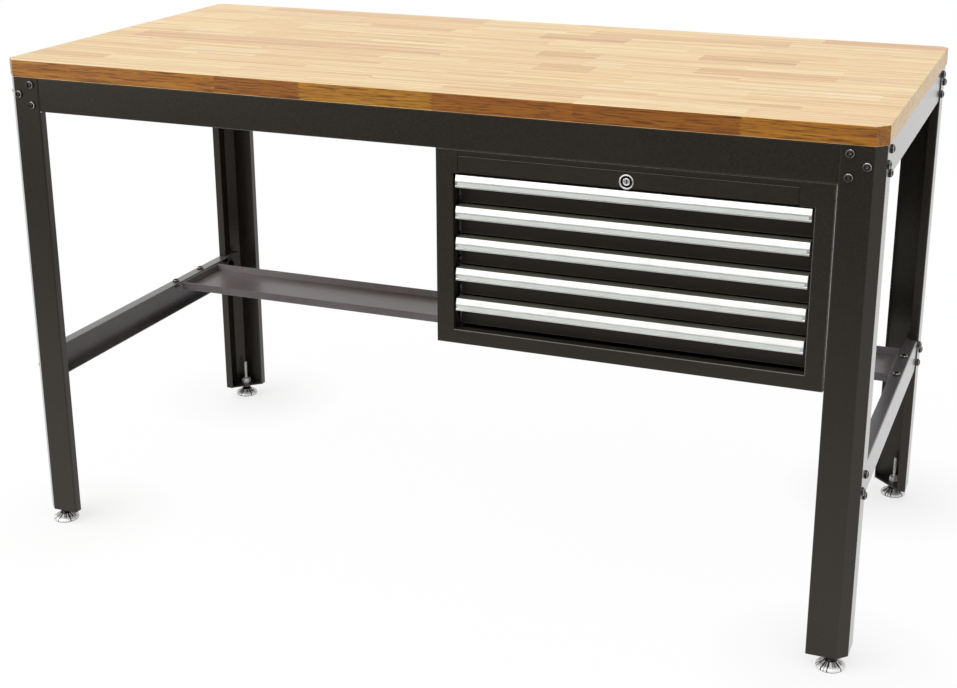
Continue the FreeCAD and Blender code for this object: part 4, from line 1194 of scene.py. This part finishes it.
print("tools reach", OVERRUN, "m past the sheet and stop", SHY, "m short of a web")

# %% [markdown]
# ## Long rails
# A channel under each long edge of the top carries it from leg to leg. Its flanges are coped, cut
# back at both ends, so that the web alone slips in behind the lip of the leg. The rear rail is the
# front one turned half round, as on the real bench.

# %% Long rails
COPE = 0.0067
front_low, front_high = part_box("rail_front")
FLANGE = front_high.y - front_low.y
outline = [(front_low.x, y, z) for y, z in channel(front_low.y, front_low.z, front_high.z, FLANGE)]
rail_front = draw_section("rail_front_sheet", outline)
pull((front_high.x - front_low.x, 0, 0))
round_along(rail_front, 0, [(front_low.y, front_low.z), (front_low.y, front_high.z)], BEND)
for side in (-1, 1):
    carve(rail_front, start_block(
        "cope",
        (side * (front_high.x - COPE), front_low.y + SHEET + SHY, front_low.z - OVERRUN),
        (side * (front_high.x + OVERRUN), front_high.y + OVERRUN, front_high.z + OVERRUN),
    ))
ease(rail_front)
rail_rear = twin(rail_front, "rail_rear_sheet", HALF_TURN)
for piece, node in ((rail_front, "rail_front"), (rail_rear, "rail_rear")):
    finish_piece(piece, "bench", frame_coat)
    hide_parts(node)
    report(piece)

# %% [markdown]
# ## Side rails and stretchers
# The ends of the bench are held by a rail under the top and a stretcher near the floor, both the
# same channel, so one is made and copied down and across. A thin light could be placed to draw the
# bright lines of their bends, but it would fall on everything else too, so the rounded faces get a
# painted highlight. The stretchers get a paler copy of the coat, as painted light from the floor.

# %% Side rails and stretchers
side_low, side_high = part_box("rail_right")
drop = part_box("stretcher_right")[0].z - side_low.z
outline = [(side_high.x - x, side_low.y, z) for x, z in channel(0, side_low.z, side_high.z, FLANGE)]
rail_right = draw_section("rail_right_sheet", outline)
pull((0, side_high.y - side_low.y, 0))
round_along(rail_right, 1, [(side_high.x, side_low.z), (side_high.x, side_high.z)], BEND)
ease(rail_right)
stretcher_right = twin(rail_right, "stretcher_right_sheet", step=(0, 0, drop))
# The stretchers' paler coat is painted light, and the rounded bend faces get a painted highlight.
for piece, word, coat in ((rail_right, "rail", frame_coat), (stretcher_right, "stretcher", stretcher_light_coat)):
    piece.data.materials.append(coat)
    paint(piece, edge_highlight_coat, lambda middle, direction: 0.1 < direction.x < 0.98
          and middle.x > side_high.x - BEND)
    other = twin(piece, f"{word}_left_sheet", HALF_TURN)
    for sheet, side_name in ((piece, "right"), (other, "left")):
        finish_piece(sheet, "bench", coat)
        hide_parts(f"{word}_{side_name}")
        report(sheet)

# %% [markdown]
# ## Legs
# A leg is one sheet folded five times: a lip, the wide front, the cut corner, the side and another
# lip. The lips stop short where the rails and the stretcher lie against the leg. Every leg could be
# drawn at its own corner, but one is drawn, mirrored for the other end, and both are turned half
# round for the back.

# %% Legs
CORNER = 0.0165
LIP = 0.016
SLIGHT_BEND = 0.42 * BEND
ROOT = SHEET + BEND
leg_low, leg_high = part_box("leg_front_right")
WIDE = leg_high.x - leg_low.x
DEEP = leg_high.y - leg_low.y
FOLD = CORNER + SHEET * math.tan(math.pi / 8)
LEG = [
    (WIDE, 0), (CORNER, 0), (0, CORNER), (0, DEEP), (LIP, DEEP), (LIP, DEEP - SHEET), (SHEET, DEEP - SHEET),
    (SHEET, FOLD), (FOLD, SHEET), (WIDE - SHEET, SHEET), (WIDE - SHEET, LIP), (WIDE, LIP),
]


def on_leg(u, v, z):
    """A place on the front right leg, from its outer corner."""
    return (leg_high.x - u, leg_low.y + v, z)


leg = draw_section("leg_front_right_sheet", [on_leg(u, v, leg_low.z) for u, v in LEG])
pull((0, 0, leg_high.z - leg_low.z))
for spots, radius in (([(WIDE, 0), (0, DEEP)], BEND), ([(CORNER, 0), (0, CORNER)], SLIGHT_BEND)):
    round_along(leg, 2, [on_leg(u, v, 0)[:2] for u, v in spots], radius)
WIDE_LIP = ((WIDE - ROOT, SHEET + SHY), (WIDE + OVERRUN, LIP + OVERRUN))
DEEP_LIP = ((SHEET + SHY, DEEP - ROOT), (LIP + OVERRUN, DEEP + OVERRUN))
for (inner, outer), foot, head in ((WIDE_LIP, side_low.z, leg_high.z), (DEEP_LIP, side_low.z, leg_high.z),
                                   (DEEP_LIP, side_low.z + drop, side_high.z + drop)):
    carve(leg, start_block("notch", on_leg(*inner, foot - OVERRUN), on_leg(*outer, head + OVERRUN)))
ease(leg)
for corner, piece in at_four_corners(leg, "leg_{}_sheet").items():
    finish_piece(piece, "bench", frame_coat)
    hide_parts(f"leg_{corner}")
    report(piece)

# %% [markdown]
# ## Foot plates
# A plate welded inside the end of each leg carries the foot's nut. It fills the corner of the leg and
# is cut off in a straight line from lip to lip, so that no part of it sticks out. A block would need
# three cuts for that, so the plate is drawn as an outline, pulled to its thickness and drilled.

# %% Foot plates
WELD_GAP = SHEET + 0.0003
PLATE_THICK = 0.003
STUD_BORE, DRILL_LONG = 0.0053, 0.02
PLATE = [
    (FOLD, WELD_GAP), (WIDE - WELD_GAP, WELD_GAP), (WIDE - WELD_GAP, LIP), (LIP, DEEP - WELD_GAP),
    (WELD_GAP, DEEP - WELD_GAP), (WELD_GAP, FOLD),
]
plate_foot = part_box("foot_plates")[0].z
plate = draw_section("foot_plate_front_right", [on_leg(u, v, plate_foot) for u, v in PLATE])
pull((0, 0, PLATE_THICK))
carve(plate, start_bar("drill", 24, STUD_BORE, DRILL_LONG, (foot_x, foot_y, plate_foot)))
for piece in at_four_corners(plate, "foot_plate_{}").values():
    finish_piece(piece, "bench", frame_coat)
    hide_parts("foot_plates")
report(plate)

# %% [markdown]
# ## Trough
# The trough at the back is a shallow pan of folded sheet. It could be folded from a flat sheet, but
# a block whose top is inset by the thickness and pushed down leaves four walls and a floor at once.
# A tab at each end lies under the flange of the stretcher. The trough has a paler copy of the coat as
# painted light, and the inside of the back wall, which faces the light, a paler one still, also
# painted light.

# %% Trough
TRAY_HALF = 0.735
TRAY_FRONT, TRAY_REAR = 0.111, 0.254
TAB_REAR = 0.217
tray_low, tray_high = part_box("rear_tray")
trough = start_block("trough", (-TRAY_HALF, TRAY_FRONT, tray_low.z), (TRAY_HALF, TRAY_REAR, tray_high.z))
round_along(trough, 0, [(TRAY_FRONT, tray_low.z), (TRAY_REAR, tray_low.z)], BEND)
hollow(trough, SHEET, tray_high.z - tray_low.z)
for side in (-1, 1):
    carve(trough, start_block(
        "tab",
        (side * (TRAY_HALF - OVERRUN), tray_low.y, tray_high.z - SHEET),
        (side * tray_high.x, TAB_REAR, tray_high.z),
    ), "UNION")
ease(trough)
# The trough's paler coat is painted light, and the back wall's inside a paler painted light still.
trough.data.materials.append(trough_light_coat)
paint(trough, pale_light_coat, lambda middle, direction: direction.y < -MOSTLY and middle.y > TRAY_REAR - 2 * SHEET)
finish_piece(trough, "bench", trough_light_coat)
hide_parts("rear_tray")
report(trough)

# %% [markdown]
# ## Face frame
# The front of the chest is a flat frame of thinner sheet, with a return folded back round the
# drawers. Four strips could be welded, but seams would show at the corners, so one block is cut with
# smaller ones, and the return is a ring welded on behind. The rounded edges that face upwards or lie
# at the right end catch the light in the photograph, so they get a painted highlight.

# %% Face frame
THIN = 0.0015
FRAME_SIDE, FRAME_FOOT, FRAME_HEAD = 0.0295, 0.024, 0.039
RAIL_START, RAIL_END = 0.038, 0.0535
HEAD_STRIP = 0.005
FACE_ROUND = 0.0013
WELL_PAST = 0.01
SUNK = 0.0004
face_low, face_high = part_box("face_frame")
OPEN_LOW = (face_low.x + FRAME_SIDE, face_low.z + FRAME_FOOT)
OPEN_HIGH = (face_high.x - FRAME_SIDE, face_high.z - FRAME_HEAD)
RAIL_SPAN = (face_low.x + RAIL_START, face_high.x - RAIL_END)
back = face_low.y + THIN
face = start_block("face_frame_sheet", face_low, (face_high.x, back, face_high.z))
carve(face, start_block(
    "hole",
    (OPEN_LOW[0], face_low.y - WELL_PAST, OPEN_LOW[1]),
    (OPEN_HIGH[0], back + WELL_PAST, OPEN_HIGH[1]),
))
carve(face, start_block(
    "gap",
    (RAIL_SPAN[0], face_low.y - WELL_PAST, OPEN_HIGH[1] - WELL_PAST),
    (RAIL_SPAN[1], back + WELL_PAST, face_high.z - HEAD_STRIP),
))
choose(face, "edges", lambda middle, direction: near(middle.y, face_low.y))
bevel_chosen(FACE_ROUND, 3)
ring = start_block(
    "ring",
    (OPEN_LOW[0] - THIN, back - SUNK, OPEN_LOW[1] - THIN),
    (OPEN_HIGH[0] + THIN, face_high.y, OPEN_HIGH[1]),
)
carve(ring, start_block(
    "inside",
    (OPEN_LOW[0], face_low.y - WELL_PAST, OPEN_LOW[1]),
    (OPEN_HIGH[0], face_high.y + WELL_PAST, OPEN_HIGH[1] + WELL_PAST),
))
carve(face, ring, "UNION")
finish_piece(face, "bench", chest_coat)
# A painted highlight on the rounded edges that face upwards or lie at the right.
paint(face, edge_highlight_coat, lambda middle, direction: -0.98 < direction.y < -0.2 and middle.y < back
      and (direction.z > 0.15 or middle.x > OPEN_HIGH[0] - 0.003))
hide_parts("face_frame")
report(face)

# %% [markdown]
# ## Lock rail
# The rail over the drawers is a sheet of its own, flush with the face frame, and carries the lock.
# It could be part of the frame, but its seams show as faint lines, and a step below its top, where
# it laps behind the frame, shows as a second one. So it is drawn as a stepped section, its front is
# cut back at both ends, and the faces at its bent and cut edges get a paler coat as a painted
# highlight, down to just short of the middle of the bore, whose wall stays dark.

# %% Lock rail
SEAM = 0.0005
FACE_FOOT, FACE_TOP, LAP_TOP = 0.002, 0.0285, 0.0365
RAIL_DEEP = 0.018
END_GAP = 0.00005
LOCK_BORE = 0.0097
RIM_DEEP = 0.00145
rail_low, rail_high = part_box("lock_rail")
LOCK_X, _, LOCK_Z = middle_of("lock_barrel")
RAIL = [
    (0, FACE_FOOT), (0, FACE_TOP), (THIN, FACE_TOP), (THIN, LAP_TOP), (2 * THIN, LAP_TOP),
    (2 * THIN, FACE_FOOT + THIN), (RAIL_DEEP, FACE_FOOT + THIN), (RAIL_DEEP, FACE_FOOT),
]
outline = [(rail_low.x, rail_low.y + out, rail_low.z + up) for out, up in RAIL]
lock_rail = draw_section("lock_rail_sheet", outline)
pull((rail_high.x - rail_low.x, 0, 0))
ENDS = ((rail_low.x - OVERRUN, RAIL_SPAN[0] + SEAM), (RAIL_SPAN[1] - SEAM, rail_high.x + OVERRUN))
for start, stop in ENDS:
    carve(lock_rail, start_block(
        "end",
        (start, rail_low.y - OVERRUN, rail_low.z - OVERRUN),
        (stop, back + END_GAP, rail_high.z),
    ))
lying = (QUARTER_TURN, 0, 0)
carve(lock_rail, start_bar("drill", 32, LOCK_BORE, DRILL_LONG, (LOCK_X, rail_low.y, LOCK_Z), lying))
ease(lock_rail, 0.0007, 60)
lock_rail.data.materials.append(chest_coat)
# A painted highlight on the faces at the bent and cut edges of the front.
paint(lock_rail, pale_light_coat, lambda middle, direction: abs(direction.z) > 0.2
      and middle.y < rail_low.y + RIM_DEEP)
finish_piece(lock_rail, "bench", chest_coat)
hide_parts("lock_rail")
report(lock_rail)

# %% [markdown]
# ## Lock
# The lock is a chromed barrel with a rounded ring, a groove inside it painted black as shade, and a plug with
# a keyway.
# Cylinders of several sizes would leave hard steps, so both are spun round the lock's axis from half
# an outline. The plug turns with the key, so it is a piece of its own on its own body.

# %% Lock barrel
OUT = Vector((0, -1, 0))
lock_middle = Vector((LOCK_X, face_low.y, LOCK_Z))
BARREL = [
    (0.0063, -0.0215), (0.0063, 0.0012), (0.0090, 0.0012), (0.0093, 0.0024), (0.0099, 0.0030),
    (0.0108, 0.0030), (0.0115, 0.0026), (0.0119, 0.0016), (0.012, 0.0), (0.0095, 0.0),
    (0.0095, -0.022), (0.0063, -0.022), (0.0063, -0.0215),
]
GROOVE_OUT, GROOVE_RADIUS = 0.0022, 0.0079
RING_RADIUS = 0.009


def from_lock_axis(middle):
    return math.hypot(middle.x - LOCK_X, middle.z - LOCK_Z)


barrel = spun("lock_ring", BARREL, 48, lock_middle, OUT)
finish_piece(barrel, "bench", chrome, 35)
# Black in the groove as painted shade.
paint(barrel, black_steel, lambda middle, direction: 0 < face_low.y - middle.y < GROOVE_OUT
      and from_lock_axis(middle) < GROOVE_RADIUS)
paint(barrel, aluminium, lambda middle, direction: direction.y < -0.3
      and from_lock_axis(middle) > RING_RADIUS)
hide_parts("lock_barrel")
report(barrel)

# %% [markdown]
# The keyway is an upright slot with a wider part at its middle, where the ridge of the key goes. It
# could be drawn on the plug as a dark patch, but a real slot catches its own shadow, so it is carved
# with two small blocks.

# %% Lock plug
PLUG = [
    (0.0, 0.0016), (0.0040, 0.0016), (0.0044, 0.0021), (0.0052, 0.0023), (0.0058, 0.0020),
    (0.006, 0.0012), (0.006, -0.0206), (0.0, -0.0206),
]
KEYWAY = (((-0.0008, -0.0030), (0.0008, 0.0030)), ((-0.0002, -0.0006), (0.0018, 0.0010)))
KEY_FRONT, KEY_DEEP = 0.004, 0.012
plug = spun("key_plug", PLUG, 32, lock_middle, OUT)
for low, high in KEYWAY:
    carve(plug, start_block(
        "keyway",
        (LOCK_X + low[0], face_low.y - KEY_FRONT, LOCK_Z + low[1]),
        (LOCK_X + high[0], face_low.y + KEY_DEEP, LOCK_Z + high[1]),
    ))
finish_piece(plug, "lock_plug", chrome, 35)
paint(plug, aluminium, lambda middle, direction: direction.y < -MOSTLY)
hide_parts("lock_plug")
report(plug)

# %% [markdown]
# ## Drawer fronts
# The front of a drawer rises flat, folds forward into a ledge at its top, and turns down in a lip
# that the handle is riveted to. Like the rails it is one section all along, drawn and pulled. The
# ledge gets a painted sheen, and the edge at the foot a painted highlight.

# %% Drawer front
SKIN = 0.0012
FRONT_BACK, LIP_BACK = 0.025, 0.004
LIP_DROP = 0.012
LEDGE_ROUND, FOLD_ROUND = 0.0025, 0.0009
LEDGE_DEEP, FOOT_TALL = 0.002, 0.001
drawer_low, drawer_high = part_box("drawer_1")
FACE_Y = face_low.y + FRONT_BACK
PAN_FRONT = FACE_Y + SKIN
LIP_Y = face_low.y + LIP_BACK
FRONT = [
    (PAN_FRONT, drawer_low.z), (PAN_FRONT, drawer_high.z), (LIP_Y, drawer_high.z),
    (LIP_Y, drawer_high.z - LIP_DROP), (LIP_Y + SKIN, drawer_high.z - LIP_DROP),
    (LIP_Y + SKIN, drawer_high.z - SKIN), (FACE_Y, drawer_high.z - SKIN), (FACE_Y, drawer_low.z),
]
front = draw_section("drawer_front", [(drawer_low.x, y, z) for y, z in FRONT])
pull((drawer_high.x - drawer_low.x, 0, 0))
round_along(front, 0, [(PAN_FRONT, drawer_high.z)], LEDGE_ROUND)
round_along(front, 0, [(LIP_Y, drawer_high.z), (FACE_Y, drawer_low.z)], FOLD_ROUND, 2)
front.data.materials.append(chest_coat)
# A painted sheen on the ledge.
paint(front, ledge_sheen_coat, lambda middle, direction: direction.z > 0.6
      and middle.z > drawer_high.z - LEDGE_DEEP)
# A painted highlight on the edge at the foot.
paint(front, edge_highlight_coat, lambda middle, direction: -0.98 < direction.y < -0.2
      and middle.z < drawer_low.z + FOOT_TALL)
report(front)

# %% [markdown]
# ## Drawer pans
# Behind the front a folded pan holds the tools. As for the trough, a block is hollowed from above,
# which is quicker than folding and looks the same from outside. At its back a small catch, bent
# down at its end, is welded on, and the hook of the lock's bar drops behind it.

# %% Drawer pan
PAN_LOW = (0.1005, PAN_FRONT, drawer_low.z + 0.002)
PAN_HIGH = (0.651, 0.084, drawer_high.z - 0.009)
CATCH_HALF, CATCH_DROP = 0.008, 0.005
catch_end = drawer_high.y
pan = start_block("drawer_pan", PAN_LOW, PAN_HIGH)
hollow(pan, SKIN, PAN_HIGH[2] - PAN_LOW[2])
catch = start_block(
    "catch",
    (LOCK_X - CATCH_HALF, PAN_HIGH[1] - SUNK, PAN_HIGH[2] - SKIN),
    (LOCK_X + CATCH_HALF, catch_end, PAN_HIGH[2]),
)
choose(catch, "faces", facing_down)
bpy.ops.mesh.bisect(plane_co=(0, catch_end - SKIN, 0), plane_no=(0, 1, 0))
choose(catch, "faces", lambda middle, direction: direction.z < -MOSTLY and middle.y > catch_end - SKIN)
extrude((0, 0, -CATCH_DROP))
leave_edit()
carve(pan, catch, "UNION")
ease(pan)
report(pan)

# %% [markdown]
# Front and pan stay two pieces, because a weld between them would never be seen, and both ride on
# the body of their drawer. As with the handles, each copy goes down to its own measured place.

# %% Copies of the drawer
for number in DRAWERS:
    down = (0, 0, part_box(f"drawer_{number}")[0].z - drawer_low.z)
    for pattern, word in ((front, "front"), (pan, "pan")):
        copy = twin(pattern, f"drawer_{word}_{number}", step=down)
        finish_piece(copy, f"drawer_{number}", chest_coat)
        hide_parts(f"drawer_{number}")
bpy.data.objects.remove(front)
bpy.data.objects.remove(pan)
print("drawers", len(DRAWERS))

# %% [markdown]
# ## Carried-over parts
# The chest's panels, back and hangers, its posts, runners and own bolts, the nuts and screws, and
# the rod and bar of the lock are plain parts that lie inside or behind. They could be modelled again,
# but the measured solids already have their right shape, so they stay and only get a finish.

# %% Finishes on the measured parts
FINISH_OF_SLOT = {
    "wood": wood, "frame_coat": frame_coat, "chest_coat": chest_coat, "aluminium": aluminium,
    "chrome": chrome, "zinc_steel": zinc, "black_steel": black_steel,
}
# The foot nuts get the near-white zinc of the studs, a painted highlight.
DARK_OR_BRIGHT = {"frame_nuts": black_steel, "foot_nuts": zinc_painted_highlight}
for part in frame["record"]["subparts"]:
    node = frame["nodes"][part["node"]]
    node.data.materials.clear()
    finish = FINISH_OF_SLOT[part["material_slot"]]
    node.data.materials.append(DARK_OR_BRIGHT.get(part["node"], finish))
print("measured parts", len(frame["nodes"]))

# %% [markdown]
# ## Close the scene
# The box of the dressed bench could be read off in the window. The script ends in object mode with nothing
# selected.

# %% Finish
leave_edit()
bpy.ops.object.select_all(action="DESELECT")
